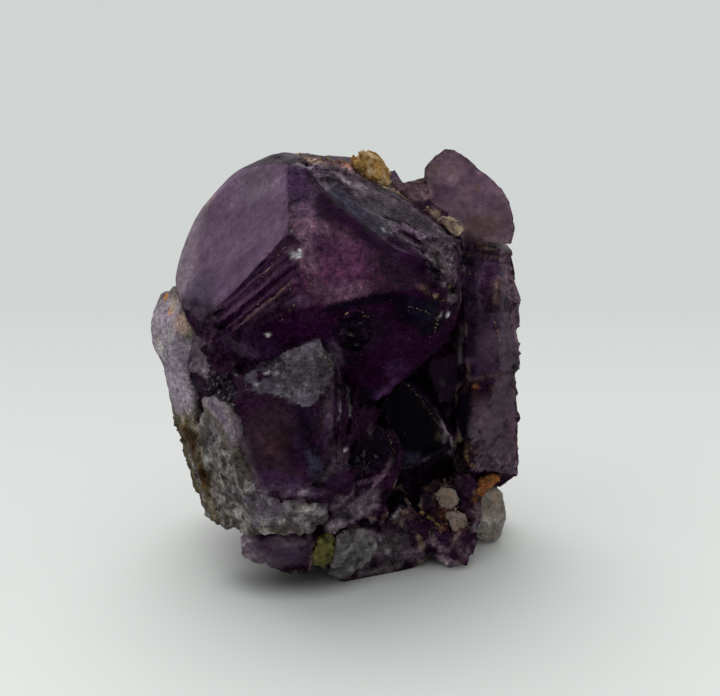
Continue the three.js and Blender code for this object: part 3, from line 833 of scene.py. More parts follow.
fluoriteStrokes = [
    # the roof on the right of the upper crystal
    ("smoke", (4.5, -6, 67.2), 14, 0.85, 0),
    ("smoke", (17.1, -6.5, 59.7), 14, 0.8, 0),
    ("mauve", (3, -2, 69), (6, 5, 3), 0.6, 0.3),
    ("mauve", [(3.6, -6.8, 67.3), (9.6, -5, 64.8)], 1.6, 0.6, 0.4),
    ("steel", [(5, -9, 65), (10, -7.6, 63), (14, -6.4, 61)], 2.2, 0.5, 0.2),
    ("tan", [(7.4, -1.2, 67.4), (12, 0.4, 65), (16.8, 1.2, 62.2), (20.4, -2, 60)], 1.7, 0.8, 0.35),
    # the concave front of the upper crystal
    ("wine", (0, -18, 57), (13, 9, 10), 1, 0),
    ("plum", (9.5, -16.5, 56.6), (6.5, 5, 5), 0.85, 0.1),
    ("rosy", [(-4.5, -19, 55), (-2, -20, 53), (4, -19.7, 53.6)], 2.6, 0.5, 0.1),
    ("rosy", [(1, -15.6, 61), (-2, -15.2, 62.6)], 2, 0.25, 0.3),
    ("violet", [(-3.8, -13.6, 65), (-4.2, -17, 60.6)], 1.8, 0.5, 0.3),
    ("slate", [(0.2, -8.6, 67.9), (3.4, -10.8, 64.8), (6.4, -11.8, 62.9), (9, -12.4, 61)], 1.6, 0.85, 0.2),
    ("dusk", [(-2.4, -8.4, 69.4), (-0.4, -7.2, 69.1), (1.8, -8.3, 67.4), (4, -9.6, 65.6)], 1, 0.85, 0.3),
    ("dusk", [(6.4, -10.6, 63.6), (9.4, -12.6, 60.6), (11, -13, 59.4)], 0.7, 0.7, 0.4),
    ("plum", [(-1.8, -12.4, 66), (2, -13.2, 63.8), (5.6, -14.8, 60.7), (9, -16, 58.4)], 2.2, 0.8, 0.1),
    ("ink", [(-2, -11.7, 66.4), (0, -11.9, 65.7), (3.8, -13.6, 62.7), (7.6, -15, 59.6)], 1.1, 0.85, 0.15),
    ("navy", [(7, -14.6, 60.2), (9.4, -15.4, 58.6), (12.4, -14.6, 57)], 1.7, 0.9, 0.2),
    # the broad face on the left
    ("frosted", *broadFace, 0.92, 0),
    ("smoke", (-12.5, -3, 67.5), (8, 7, 5), 0.7, 0),
    # painted light: a pale haze along the rim of the broad face, a painted sheen where light comes through
    # the edge from behind
    ("haze", [(-27, -4, 51), (-27, 2, 56), (-24, 4, 61.5)], 4.6, 0.75, 0),
    ("haze", [(-24, 4, 61.5), (-15, 3.4, 68.5)], 2.4, 0.6, 0),
    ("violet", [(-21.6, -11.2, 50.4), (-12.8, -13, 58.8)], 2.6, 0.35, 0.1),
    ("slate", (-23, -9, 51), (5.5, 5, 4.5), 0.6, 0),
    ("dusk", [(-26.5, -8, 47.6), (-21.5, -13, 48)], 2.6, 0.95, 0.5),
    ("tan", (-21.8, 3.8, 64.4), (2.4, 2.4, 1.4), 0.5, 0.8),
    # the strip between them
    ("violet", [(-7, -7, 70.6), (-6.2, -11, 67.6)], 3, 0.85, 0.1),
    ("rosy", [(-6, -14, 65), (-6.4, -17, 61.4), (-4.6, -18.8, 57.8)], 3.2, 0.95, 0.2),
    ("lilac", [(-5, -12.6, 66), (-6, -14, 65)], 2, 0.6, 0.4),
    ("dusk", [(-6.9, -7.4, 70.2), (-6.8, -12, 66.6)], 1.3, 0.6, 0.5),
    ("frosted", [(-4.2, -5, 71), (-3.9, -12, 67), (-4.6, -17.3, 61), (-2, -19, 58.6)], 1, 0.4, 0.4),
    ("dusk", [(-3.2, -12.4, 66.6), (-3.4, -15.6, 63)], 0.7, 0.5, 0.4),
    ("milky", (-4.8, -6.6, 70.9), (1.8, 1.6, 1), 0.9, 0.4),
    # painted glint: a white spot standing in for a sparkle of reflected light
    ("snow", (-6.3, -18.2, 59), (1.2, 1.2, 1.2), 1, 0.4),
    # the crusted top
    ("frosted", (-2, -4, 71), (7, 8, 2.5), 0.4, 0.4),
    ("tan", (-3.5, -1.5, 71.6), (5, 3.5, 2), 0.75, 0.5),
    ("rusty", (1.5, 0.5, 70.6), (4, 3.5, 2.4), 0.6, 0.6),
    # the stepped blades below the broad face
    ("violet", [(-8, -17.4, 61), (-13, -17.2, 55), (-20, -15, 48.6)], 4, 0.4, 0.3),
    ("dusk", (-20, -14.5, 46.8), (6, 4, 3.6), 0.8, 0.3),
    # the dark undersides
    ("maroon", *underside, 0.95, 0),
    ("plum", (10.5, -15, 43), (4, 5, 6), 0.5, 0.2),
    ("dusk", (4, -17.5, 46.5), (8, 7, 8), 0.85, 0.1),
    ("ink", [(3.4, -18.6, 50), (2.6, -17.2, 46.2), (2.2, -15.4, 41.6)], 2.5, 0.95, 0.5),
    ("ash", [(0, -17.6, 45.9), (1.4, -16.9, 45.2), (2.6, -16.5, 45.5)], 0.55, 0.9, 0.5),
    ("ash", [(0.8, -16.6, 43.5), (2, -15.8, 43.1), (3.2, -15.4, 43.5)], 0.55, 0.8, 0.5),
    ("violet", (9.5, -13, 38.5), (5, 5, 3), 0.4, 0.3),
    ("snow", (17, -12.1, 47.2), (0.9, 0.9, 1.1), 1, 0.3),
    ("snow", (18.3, -10.8, 46.9), (0.7, 0.7, 1.2), 1, 0.3),
    ("maroon", (6.7, -12, 32.8), (3.5, 4, 3), 0.5, 0.3),
    ("plum", (-3.5, -20, 50), (5, 3, 2.6), 0.6, 0.3),
    ("ink", [(-1.6, -20.8, 50.8), (2, -20.6, 51.7), (5.2, -19.8, 52.2), (9, -18.8, 52),
     (12, -17.2, 51.4)], 1.3, 0.9, 0.1),
    # the rough belly of small crystals
    ("violet", (-15, -17, 43.5), (12, 7, 6.5), 0.55, 0.5),
    ("frosted", [(-22.6, -11.4, 43.4), (-20, -13, 40.8), (-17, -15.5, 39.6)], 0.8, 0.6, 0.6),
    ("snow", (-11.2, -19.3, 46), (0.7, 0.7, 0.7), 1, 0),
    # broken zone at the right end of the roof
    ("ash", (16.6, -11.2, 56.4), (6, 6, 6.4), 0.9, 0.3),
    ("ink", [(11, -16.6, 50), (14.2, -14.4, 48.6), (15.6, -12.8, 46)], 4.4, 0.9, 0.2),
    ("navy", [(12, -16.2, 50.4), (14.6, -14, 48)], 2.6, 0.8, 0.3),
    ("plum", [(12.4, -14.6, 57.4), (15.4, -13.8, 54)], 1.3, 0.7, 0.5),
    ("ink", [(13.6, -14.4, 57.6), (16.6, -12.6, 54.4), (18.7, -10.6, 52.4)], 0.8, 0.95, 0.4),
    ("ink", [(8, -9.7, 63.3), (11.5, -8.6, 62)], 0.7, 0.85, 0.4),
    ("ink", [(14.4, -8.6, 60), (17.6, -8.4, 57.6), (19.4, -7.6, 55)], 0.6, 0.8, 0.5),
    ("ink", (15.8, -14.4, 50.8), (2.4, 2, 1.6), 0.8, 0.4),
    ("haze", [(10.6, -10.6, 61.6), (12.4, -10.4, 60.6), (14.6, -9.6, 59.8)], 1.3, 0.7, 0.5),
    ("brown", [(12.6, -16.6, 53.4), (15, -15.2, 52.4)], 1, 0.9, 0.7),
    ("tan", [(14.4, -15.8, 52.4), (17, -13, 50.4)], 0.7, 0.6, 0.6),
    # middle crystal: pale worn face on top, smoky front, cloudy right side
    ("umber", *smokyFront, 0.9, 0),
    ("plum", [(-14, -22.4, 36.4), (-8, -22.8, 36.6), (-4.4, -23, 34)], 2.4, 0.7, 0.3),
    ("brick", (-10.4, -23.2, 28.4), (5, 3, 6), 0.8, 0.2),
    ("violet", [(-5.6, -23.4, 33), (-6.4, -23.4, 25)], 2.2, 0.8, 0.3),
    ("dusk", [(-6.6, -24.2, 35.4), (-4.6, -24, 33), (-5.2, -23.8, 29), (-4.2, -23.2, 26.4)], 2.8, 0.95, 0.15),
    ("ink", [(-6, -24.2, 34.6), (-5, -24, 31.6)], 1.4, 0.7, 0.4),
    ("slate", (-3.2, -22.4, 24), (4.6, 2.8, 4.4), 0.5, 0.6),
    ("violet", [(-13, -22.6, 23), (-7, -23.4, 21.6)], 2.2, 0.8, 0.4),
    ("lilac", [(-13.4, -22.4, 21.4), (-8.6, -23.2, 20.6), (-3.4, -23, 21)], 1.3, 0.7, 0.4),
    ("steel", (-4.1, -20.4, 40.5), 22, 0.95, 0),
    ("ash", [(-9.6, -21.4, 37.2), (-4.6, -21.8, 38), (-1.8, -21.8, 39)], 0.7, 0.6, 0.4),
    ("smoke", [(-9, -20.6, 39.4), (-3.4, -19.6, 42)], 0.8, 0.5, 0.5),
    ("golden", [(-2.4, -19.6, 42.6), (-0.2, -20.2, 41)], 0.7, 0.45, 0.8),
    ("steel", (-11.8, -20.3, 39.6), 22, 0.6, 0.3),
    ("violet", (1, -18.3, 31), 16, 0.8, 0),
    ("ash", [(-1.6, -22, 36), (-1, -21.4, 28), (0.4, -18.6, 23)], 2.2, 0.4, 0.4),
    ("lilac", (-0.6, -19.6, 23), (2.6, 3, 3), 0.7, 0.4),
    ("smoke", [(-0.9, -20.9, 39.5), (-0.6, -20.9, 26)], 0.8, 0.3, 0.6),
    ("milky", (-11.2, -20.4, 40.2), (1.4, 1.2, 1), 0.9, 0.4),
    ("milky", (-9.8, -20.6, 39.8), (1, 1, 1.2), 0.8, 0.4),
    ("milky", [(-13.4, -21.2, 38.2), (-12, -21.6, 37.8)], 0.6, 0.7, 0.4),
    ("smoke", (-2.4, -23, 37), (1, 1.2, 1.6), 0.9, 0.2),
    ("milky", [(0.6, -19.4, 36.8), (-0.1, -20.2, 31)], 0.5, 0.8, 0.4),
    ("milky", (0.6, -18.2, 25.7), (1.5, 1.4, 0.9), 0.9, 0.4),
    ("dusk", [(-1.6, -21, 29.4), (-1.2, -20.7, 27)], 1.3, 0.8, 0.3),
    ("milky", (1.5, -16.6, 27), (1.3, 1.3, 0.9), 0.9, 0.4),
    ("ink", (2.6, -14, 34), (3, 3.5, 2.6), 0.9, 0.2),
    ("milky", [(1.4, -15.8, 35.4), (1.4, -15.8, 31.4)], 0.8, 0.9, 0.3),
    ("ink", (2.4, -13, 33.4), (1.8, 2, 2.2), 0.9, 0.3),
    # dark crystal standing below the broad face's corner
    ("smoke", (-24, -10, 38), (2.2, 3, 2.6), 0.5, 0.4),
    ("ink", (-19.5, -16, 35.3), (6, 6, 2.6), 0.9, 0.4),
    ("ink", [(-26.4, -8.8, 36.2), (-24.2, -11.6, 34.6), (-20, -15, 33.5)], 1, 0.9, 0.2),
    ("haze", [(-24, -10.2, 37.2), (-21.6, -12.5, 36.9)], 1.5, 0.9, 0.3),
    ("haze", [(-21.4, -12.2, 41.6), (-19.4, -13.2, 39.6), (-17.6, -14.6, 38.4)], 1.1, 0.8, 0.5),
    # black crystals in the hollow
    ("ink", (12, -2, 24), (15, 14, 22), 1, 0),
    ("ink", [(6, -11, 34), (2.6, -10.6, 31), (1.6, -13, 26)], 3.4, 0.95, 0.1),
    ("dusk", [(21, 1, 37), (20.6, 1.6, 24), (21, 2.7, 13)], 2.6, 0.95, 0.1),
    ("ink", *blackFace, 1, 0),
    ("dusk", *blackTop, 0.8, 0),
    ("smoke", [(15, -3.4, 35), (19.2, -2, 31)], 0.5, 0.35, 0.5),
    ("tan", (17.8, -4.6, 22.6), (1.3, 1.4, 1.3), 0.8, 0.8),
    ("smoke", [(16.2, -4.6, 28), (19, -3.6, 22), (18.8, -4.2, 20), (14, -7, 18.4)], 0.5, 0.5, 0.3),
    ("ink", (4.5, -13.2, 25.3), 12, 0.8, 0),
    ("lilac", (1.1, -18.1, 18.2), 16, 0.8, 0.2),
    ("lilac", (-1.4, -16, 17), (5, 7, 4), 0.9, 0.3),
    ("smoke", (-0.4, -18, 16.4), (4, 3.4, 3), 0.7, 0.5),
    ("lilac", (2.4, -17, 12.6), (4, 4, 2.6), 0.9, 0.3),
    ("smoke", [(5.6, -15.4, 15.2), (2.6, -17.2, 14), (0, -18.2, 12)], 3.2, 0.9, 0.2),
    ("haze", (-0.4, -18.4, 12), (4.4, 3, 2.8), 0.9, 0.4),
    ("milky", (2.6, -17.2, 13.6), (2.6, 2, 1.4), 0.5, 0.6),
    ("violet", (-1.2, -20, 21), (4, 3, 3), 0.8, 0.3),
    ("ink", (2.8, -15.4, 22), (2.8, 2.4, 2.4), 0.8, 0.4),
    ("mauve", [(9.4, -12.5, 21.6), (6.7, -15, 18.3), (5, -16.6, 16.6)], 0.7, 0.5, 0.4),
    ("ink", (9, -8, 14), (7, 7, 5.5), 0.95, 0.1),
    ("ink", (13.6, -7.6, 20), (3, 2, 1.6), 0.8, 0.2),
    ("brown", (15.4, -7.4, 13.6), (2, 2, 1.4), 0.8, 0.5),
    ("ink", (1.5, -17.5, 13.5), (3.4, 3.4, 2.6), 0.8, 0.4),
    # slab on the right
    ("mauve", *topBlock, 0.9, 0),
    ("frosted", [(19, 5, 70), (26, 4, 65), (28.6, 3.4, 60)], 2.4, 0.5, 0.3),
    ("violet", (18, 3.5, 65), (5, 3, 3), 0.5, 0.1),
    ("blush", [(10.4, 3.6, 66), (12.6, 3.2, 64.8), (15, 3.8, 65.2)], 2.4, 0.9, 0.2),
    ("blush", (20, 5, 68.6), (4.4, 3, 4.2), 0.9, 0.2),
    ("violet", (24.4, 3, 63.8), (3, 3, 3), 0.4, 0.3),
    ("tan", [(10.6, 4.3, 66.8), (14.2, 5, 67), (17.2, 5.2, 69)], 0.8, 0.5, 0.4),
    ("brown", (25, 1.5, 59.5), (6.5, 3, 3.6), 0.6, 0.3),
    ("rusty", [(23, 4, 66.6), (24.9, 3.9, 65.2), (25.6, 3, 62.6)], 0.5, 0.6, 0.6),
    ("dusk", [(21.6, -0.4, 55.4), (25, 0, 54.6), (29, 0.5, 53.6)], 2, 0.8, 0.3),
    ("dusk", (23.4, -0.4, 48), (4, 3, 7), 0.85, 0.2),
    ("plum", (26.6, 0, 48), (3, 3, 5), 0.7, 0.3),
    ("dusk", [(21.6, -0.2, 55), (30, 0.6, 54)], 1.4, 0.6, 0.4),
    ("lilac", (24.7, -0.5, 37.4), 12, 0.7, 0.2),
    ("mauve", (27, -0.5, 38), (3.6, 3, 6), 0.35, 0.3),
    ("plum", (23.2, -0.5, 38.6), (2.2, 2, 4), 0.7, 0.3),
    ("violet", [(22.4, -0.4, 36), (25, -0.4, 32.4), (30, 0, 31)], 1.6, 0.7, 0.4),
    ("mauve", (26.4, -1.4, 23), (6, 5, 9.5), 0.8, 0.1),
    ("steel", (24.2, -1.4, 22), (2.2, 2, 5), 0.6, 0.3),
    ("ink", [(23.4, -0.4, 30.6), (22.4, -1, 26), (21.8, -1.7, 21)], 1.5, 0.9, 0.3),
    ("brown", (24.6, -0.6, 28.4), (1.4, 2, 2), 0.6, 0.5),
    ("mauve", *slabFace, 0.55, 0),
    ("mauve", (30.8, 2.2, 45.9), 16, 0.6, 0.1),
    ("mauve", (28.6, -0.2, 39.2), 16, 0.4, 0.2),
    ("ink", [(21.4, 0, 37), (21.8, -0.4, 24)], 1, 0.8, 0.3),
    ("rusty", (24.5, -0.2, 30.4), (1, 1.4, 0.8), 0.8, 0.4),
    ("brown", (23.2, -2, 18.4), (2.2, 2.4, 4.2), 0.85, 0.5),
    ("golden", (23, -2.2, 17.2), (1.2, 1.4, 1.4), 0.6, 0.6),
    # blocks at the foot
    ("ash", (9, -14.4, 6), (8, 5, 7), 0.8, 0.3),
    ("dusk", (10.4, -14, 9.6), (2.6, 2, 2), 0.7, 0.5),
    ("smoke", (13, -12.6, 3.4), (4, 3, 3.4), 0.9, 0.4),
    ("ink", [(12.6, -11.6, 13), (15.6, -10.8, 10.6), (16.4, -11.6, 7)], 1.5, 0.85, 0.2),
    ("violet", (18, -11.5, 5), (3.4, 4, 4.4), 0.7, 0.3),
    ("mauve", (20.8, -10.4, 3.8), (2.6, 2.6, 4), 0.8, 0.4),
    ("milky", (24.8, -7.2, 4), (2, 2.6, 4), 0.9, 0.3),
    ("blush", (25.4, -5.6, 7.6), (1.8, 2, 2.4), 0.9, 0.3),
    ("rusty", (19.5, -9.6, 8.6), (4.6, 4, 3.8), 0.7, 0.6),
    ("rusty", [(21.4, -8.6, 9), (22, -8.6, 5)], 1.2, 0.7, 0.5),
    ("tan", [(11.5, -12.9, 11.6), (13.2, -12.6, 8), (14.8, -12.2, 4.4)], 0.9, 0.75, 0.4),
    ("milky", [(9.2, -14.2, 11), (11, -11.9, 12.1)], 0.5, 0.7, 0.4),
    ("milky", (8.6, -14.6, 4.6), (1.1, 1, 0.8), 0.9, 0.3),
    ("smoke", (4, -16.4, 6), (4.4, 4, 7), 0.85, 0.3),
    ("milky", [(2.6, -17.6, 11.4), (7, -14.8, 11), (8.8, -14.4, 8)], 0.6, 0.6, 0.5),
    ("lilac", (-9, -20, 7), (9, 7, 6), 0.9, 0.2),
    ("smoke", [(-15.6, -19.6, 9.4), (-14.6, -19.6, 6), (-11, -19.8, 5)], 3.2, 0.9, 0.3),
    ("haze", [(-15.8, -19.6, 10), (-15.6, -19.4, 6)], 1.3, 0.8, 0.4),
    ("milky", (-1.2, -15.6, 4.6), (2.4, 3, 4), 0.9, 0.2),
    ("smoke", [(-15, -18, 9.4), (-9, -21.4, 9.6), (-4.6, -21, 9.6)], 1.6, 0.6, 0.5),
    ("dusk", (-6.4, -20.6, 5), (3, 3, 3), 0.6, 0.5),
    ("dusk", [(-12, -19.8, 3), (-5, -20.4, 1.6)], 1.4, 0.6, 0.5),
    # last touches: the roof and the front below it
    ("dove", [(5.6, -7.6, 66), (10.3, -6.4, 63.8), (17, -7.6, 59.2), (18.7, -8.8, 56)], 3.4, 0.8, 0.3),
    ("ink", [(8, -9.4, 63.2), (11.5, -8.4, 62)], 0.6, 0.85, 0.5),
    ("ink", [(14.4, -8.6, 60), (17.6, -8.4, 57.6), (19.4, -7.6, 55)], 0.5, 0.8, 0.5),
    ("dusk", [(0.4, -11.7, 65.8), (3.6, -13, 63.3), (6.1, -14.1, 61.4), (8.5, -14.6, 59.8),
     (10.2, -14.9, 58.7)], 1.5, 0.9, 0.2),
    ("plum", [(1.2, -12.8, 64.4), (6, -14.8, 60.4), (10, -16.4, 57), (13.4, -15.6, 55)], 2.2, 0.8, 0.2),
    ("plum", (9.6, -17.6, 55.4), (4.6, 3, 3.2), 0.75, 0.3),
    ("rosy", [(-8.6, -16.8, 60), (-6, -16.6, 61.8), (-4.4, -15, 63.4), (-2.6, -15, 63)], 2.2, 0.85, 0.3),
    ("mauve", [(-7, -17.2, 61.2), (-5.4, -16.4, 62)], 1.2, 0.6, 0.5),
    ("milky", (-6.3, -6, 71.4), (1.6, 1.6, 1), 0.8, 0.4),
    ("ash", [(16.8, -12.9, 52.9), (18.6, -10.8, 52.6), (18, -11.4, 50.4),
     (19.6, -10.4, 49.6)], 1.4, 0.85, 0.3),
    ("ink", [(17.2, -12.4, 51.6), (18.6, -10.9, 51.4)], 0.5, 0.8, 0.4),
    ("wine", (-14.6, -17.8, 50.2), (8, 4, 2), 0.2, 0.6),
    # the worn face and the small crystals beside it
    ("steel", (-4.6, -20.2, 43), 8, 0.95, 0),
    ("milky", [(-2.6, -19.2, 45), (-1.4, -19.2, 43.6)], 0.5, 0.6, 0.6),
    ("lilac", [(-0.6, -17.8, 43.7), (0.3, -16.4, 40.6), (0.4, -18.3, 37.2),
     (1.2, -16.4, 34.7)], 1.5, 0.9, 0.4),
    ("violet", [(0, -19.4, 36), (0, -19.6, 31)], 1, 0.7, 0.4),
    ("smoke", (-23.4, -11.6, 39.6), 8, 0.9, 0),
    ("violet", (-23.6, -9.4, 41.6), (2, 2, 1.2), 0.6, 0.5),
    ("dusk", (-20.4, -13, 37.4), (2.4, 2.4, 1.6), 0.7, 0.5),
    ("haze", [(-21.8, -11, 42), (-19.9, -12.9, 40.4), (-18.2, -14.4, 38.4),
     (-15.6, -17, 37.8)], 0.7, 0.8, 0.5),
    ("lilac", [(-21.6, -13, 46.6), (-19.6, -14.6, 44.6), (-16.6, -16.8, 43),
     (-14, -17.2, 42)], 2.2, 0.8, 0.6),
    ("steel", [(-15, -18, 38.8), (-9.4, -19.4, 41), (-7, -19, 42)], 1.2, 0.7, 0.4),
    ("lilac", [(-10.4, -22.3, 20.2), (-7.9, -22.7, 20.3)], 1.3, 0.9, 0.4),
    ("smoke", [(-0.6, -19.2, 15), (2, -17.8, 17.8), (-0.6, -15.1, 17.7)], 1.5, 0.85, 0.4),
    ("ash", [(-3, -21, 21.4), (-1.3, -20.4, 22.9), (1.1, -17, 22.3)], 1.2, 0.8, 0.4),
    ("dusk", (5.4, -15.2, 13.1), (1.8, 1.8, 1.2), 0.8, 0.3),
    # the slab
    ("dusk", [(22.6, -0.2, 56.2), (22.8, -0.5, 50), (23, -0.5, 44), (23.3, -0.5, 37)], 2.1, 0.85, 0.35),
    ("umber", [(22.4, 0.6, 57.6), (26.3, 0.3, 55.6)], 1.7, 0.85, 0.3),
    ("ink", (23.4, -0.5, 33.6), (1.7, 2, 2), 0.95, 0.3),
    ("ink", [(23.6, -1, 26.6), (22.4, -1.4, 22), (21.8, -1.7, 20)], 1.3, 0.9, 0.4),
    ("umber", (23.8, -2, 18.6), (1.7, 2, 2), 0.8, 0.5),
    ("dove", (29.3, 0.9, 48.1), 10, 0.8, 0),
    ("dove", [(29.5, 0.6, 42), (30.4, 1, 34), (31, 1.4, 26)], 2.4, 0.6, 0.3),
    ("dove", (28.3, -0.3, 22), 10, 0.65, 0),
    ("brown", [(22.4, -0.4, 54.6), (26, 0.2, 54.4), (29.6, 0.8, 53.6)], 0.5, 0.8, 0.5),
    ("rusty", [(27.6, 0.2, 56), (28.2, 0.2, 50), (28, -0.2, 44)], 0.35, 0.4, 0.8),
    # the foot
    ("smoke", (-8.2, -20.6, 9.1), (2.6, 1.6, 1.6), 0.8, 0.4),
    ("milky", (-12.7, -19.5, 4.7), (1.1, 1, 0.8), 0.9, 0.3),
    ("haze", (-14.4, -19.8, 6.8), (1.4, 1.2, 1.6), 0.7, 0.4),
    ("haze", [(-1.5, -18.6, 10.9), (1.1, -17.1, 10.2)], 1.1, 0.8, 0.4),
    ("milky", (-0.7, -16, 6.7), (1.5, 2, 1.6), 0.9, 0.3),
    ("haze", [(4.5, -16.3, 9.8), (7.1, -15.4, 7.4)], 0.9, 0.7, 0.4),
    ("ink", [(6.2, -15.8, 10.6), (8, -14.7, 10.9)], 0.8, 0.9, 0.3),
    ("dusk", [(9.8, -14.6, 8.9), (12.4, -13.5, 8.4), (13.4, -12.8, 5.1)], 1.4, 0.85, 0.4),
    ("smoke", [(14.3, -12.2, 2.8), (10.7, -13.5, 2.5)], 1.2, 0.8, 0.4),
    ("ink", [(8, -13.6, 12), (11.6, -9.9, 12.5), (16.1, -9.2, 12.1)], 1.6, 0.95, 0.2),
    ("haze", (13.3, -12, 11.5), (0.9, 0.9, 0.7), 0.7, 0.5),
    ("umber", [(16.6, -10.8, 9.4), (18.6, -10.2, 8)], 1.2, 0.8, 0.3),
    ("mauve", [(16.1, -12, 5.6), (17.9, -12, 3.7), (21.6, -10.3, 2.8), (23.5, -8.5, 3.9)], 1.3, 0.8, 0.4),
    ("rusty", (24.5, -5.2, 10.3), (1.5, 1.5, 1.1), 0.85, 0.3),
    ("lilac", [(-12.6, -21.9, 19.8), (-5, -22.8, 19.8), (-1.6, -21.4, 19)], 1.3, 0.8, 0.4),
    ("smoke", [(-11, -22.4, 19), (-4, -22.6, 18.6)], 0.6, 0.6, 0.7),
    ("haze", [(-4, -3, 71), (0.6, -5.4, 69.6), (4, -6.4, 67.6)], 2, 0.6, 0.5),
    ("haze", (-7, -3, 72), (3, 4, 1.4), 0.5, 0.5),
    ("lilac", [(-5, -20.3, 52.6), (-9.1, -19.5, 51.6), (-13, -18.6, 49.6)], 1.5, 0.7, 0.5),
    ("lilac", (-20.6, -13.8, 48.6), (2, 2, 1.2), 0.6, 0.5),
    ("rosy", [(-11.4, -16.2, 58.4), (-9, -16.8, 60)], 1.4, 0.8, 0.4),
    ("violet", [(9.6, -11.7, 35.4), (6.2, -11.7, 32.2)], 1.8, 0.8, 0.3),
    ("lilac", [(1.1, -17, 27.4), (1.1, -17, 23.6), (2.8, -13.8, 26.2)], 1.2, 0.9, 0.3),
    ("smoke", [(5.4, -12.4, 27.4), (5.2, -12.6, 25.4)], 0.5, 0.8, 0.4),
    ("umber", [(23, -0.2, 55.8), (25.6, 0, 55)], 0.5, 0.9, 0.5),
    ("plum", [(26.4, 0.1, 52.2), (25.6, -0.2, 48.4), (26.4, -0.2, 45)], 1.5, 0.85, 0.3),
    ("tan", [(27.6, 0.1, 50), (27.6, -0.2, 42.6)], 0.35, 0.6, 0.7),
    ("ash", [(21.8, 0.2, 41.4), (21.6, 0.9, 37.6), (21.6, 0.4, 35)], 0.9, 0.9, 0.4),
    ("dusk", (23.3, -1.7, 20.6), (1.1, 1.2, 1.6), 0.9, 0.4),
    # painted light: lighter colours along the lowest edge of the foot, which faces the floor and lies in its
    # own shade
    ("mauve", [(16.6, -12, 1.6), (19.7, -11.7, 1.4), (21.6, -10.9, 1.2)], 1.7, 0.95, 0.2),
    ("haze", [(17.4, -12, 1), (21.4, -11, 0.8), (23.4, -9.2, 2.6)], 1.3, 0.9, 0.3),
    ("mauve", [(23.5, -8.2, 5.8), (24.4, -6.8, 4)], 1.2, 0.95, 0.2),
    ("tan", (23.6, -7.8, 6.6), (0.9, 1, 0.9), 0.6, 0.5),
    ("ash", [(14.6, -12.2, 8.2), (15.6, -12, 6.4)], 0.8, 0.9, 0.3),
    ("ash", [(10.8, -13.3, 1.4), (7.2, -14.6, 1.1), (3.6, -15.9, 0.9)], 1.3, 0.9, 0.3),
    ("golden", [(14.2, -11.4, 11.2), (18.6, -10.8, 7.2)], 0.35, 0.9, 0.4),
    ("golden", [(15.2, -11, 11.8), (19, -10.6, 8.6)], 0.3, 0.8, 0.4),
    ("tan", [(13.8, -12, 9.6), (17, -11.6, 6)], 0.35, 0.8, 0.4),
    ("blush", [(-4.6, -0.9, 71.7), (-1, -0.5, 71), (1.6, -0.4, 70)], 1.8, 0.5, 0.5),
    # small crystals on the left
    ("lilac", (-20.7, -12.5, 41.2), (1.6, 1.4, 1.2), 0.8, 0.4),
    ("dove", [(-19.6, -13.6, 39.6), (-20.4, -13.2, 38.6)], 1.4, 0.85, 0.4),
    ("haze", [(-22.8, -11.4, 38), (-21.2, -12.8, 37.5)], 0.9, 0.85, 0.4),
    # pale blades beside the worn face
    ("violet", (-1.2, -18.4, 44.9), (1.4, 1.2, 1.2), 0.8, 0.4),
    ("dove", [(-0.4, -17.4, 42.2), (0.2, -17.4, 40)], 1, 0.8, 0.4),
    ("smoke", [(1.6, -16, 35.6), (1.9, -16.2, 31)], 0.8, 0.9, 0.3),
    ("violet", [(-1.5, -21.6, 33.4), (-1.8, -21.8, 28.4)], 1.1, 0.75, 0.4),
    ("dusk", [(-2.1, -22.2, 30), (-3.7, -23.2, 26)], 0.9, 0.8, 0.4),
    ("plum", [(-7.4, -23.4, 27.6), (-6.4, -23.4, 25)], 1.9, 0.9, 0.3),
    ("dove", [(-7, -23.9, 36.5), (-3.6, -23.6, 36.5)], 0.9, 0.85, 0.4),
    ("dusk", (1.1, -16.1, 19), (1.3, 1.2, 1.1), 0.85, 0.4),
    ("lilac", (5.4, -15.8, 15.1), (1.4, 1.2, 1.1), 0.7, 0.5),
    # black crystals in the hollow
    ("black", *blackFace, 0.85, 0),
    ("black", [(5.4, -12, 32.4), (5.4, -12, 31)], 1.6, 0.8, 0.3),
    ("violet", [(6.4, -10.8, 32.2), (8.2, -9.6, 31.4), (9.6, -9.4, 31.4)], 0.9, 0.85, 0.5),
    ("dove", (18, -2.6, 28.6), (1.2, 1.2, 2.2), 0.7, 0.5),
    ("ash", (20.3, -3, 21.2), (0.9, 0.9, 1.2), 0.8, 0.4),
    ("black", [(21.8, -1.9, 20.6), (22.6, -1.2, 16.4)], 1.3, 0.9, 0.4),
    ("dusk", (14.3, -9.7, 12.4), (1.8, 1.4, 1.2), 0.85, 0.4),
    ("dusk", (3.6, -15.8, 9.4), (1.3, 1.2, 1.1), 0.7, 0.5),
    ("ash", [(20.6, -5.7, 57), (21.4, -0.6, 52.4)], 1.1, 0.8, 0.4),
    # painted light: lighter paint at the bottom of the foot, where it lies in its own shade
    ("mauve", (22, -11.2, 3), (2.6, 2, 2.4), 0.7, 0.4),
    ("milky", (24.6, -9.4, 3), (1.6, 2.4, 3.2), 0.85, 0.4),
]
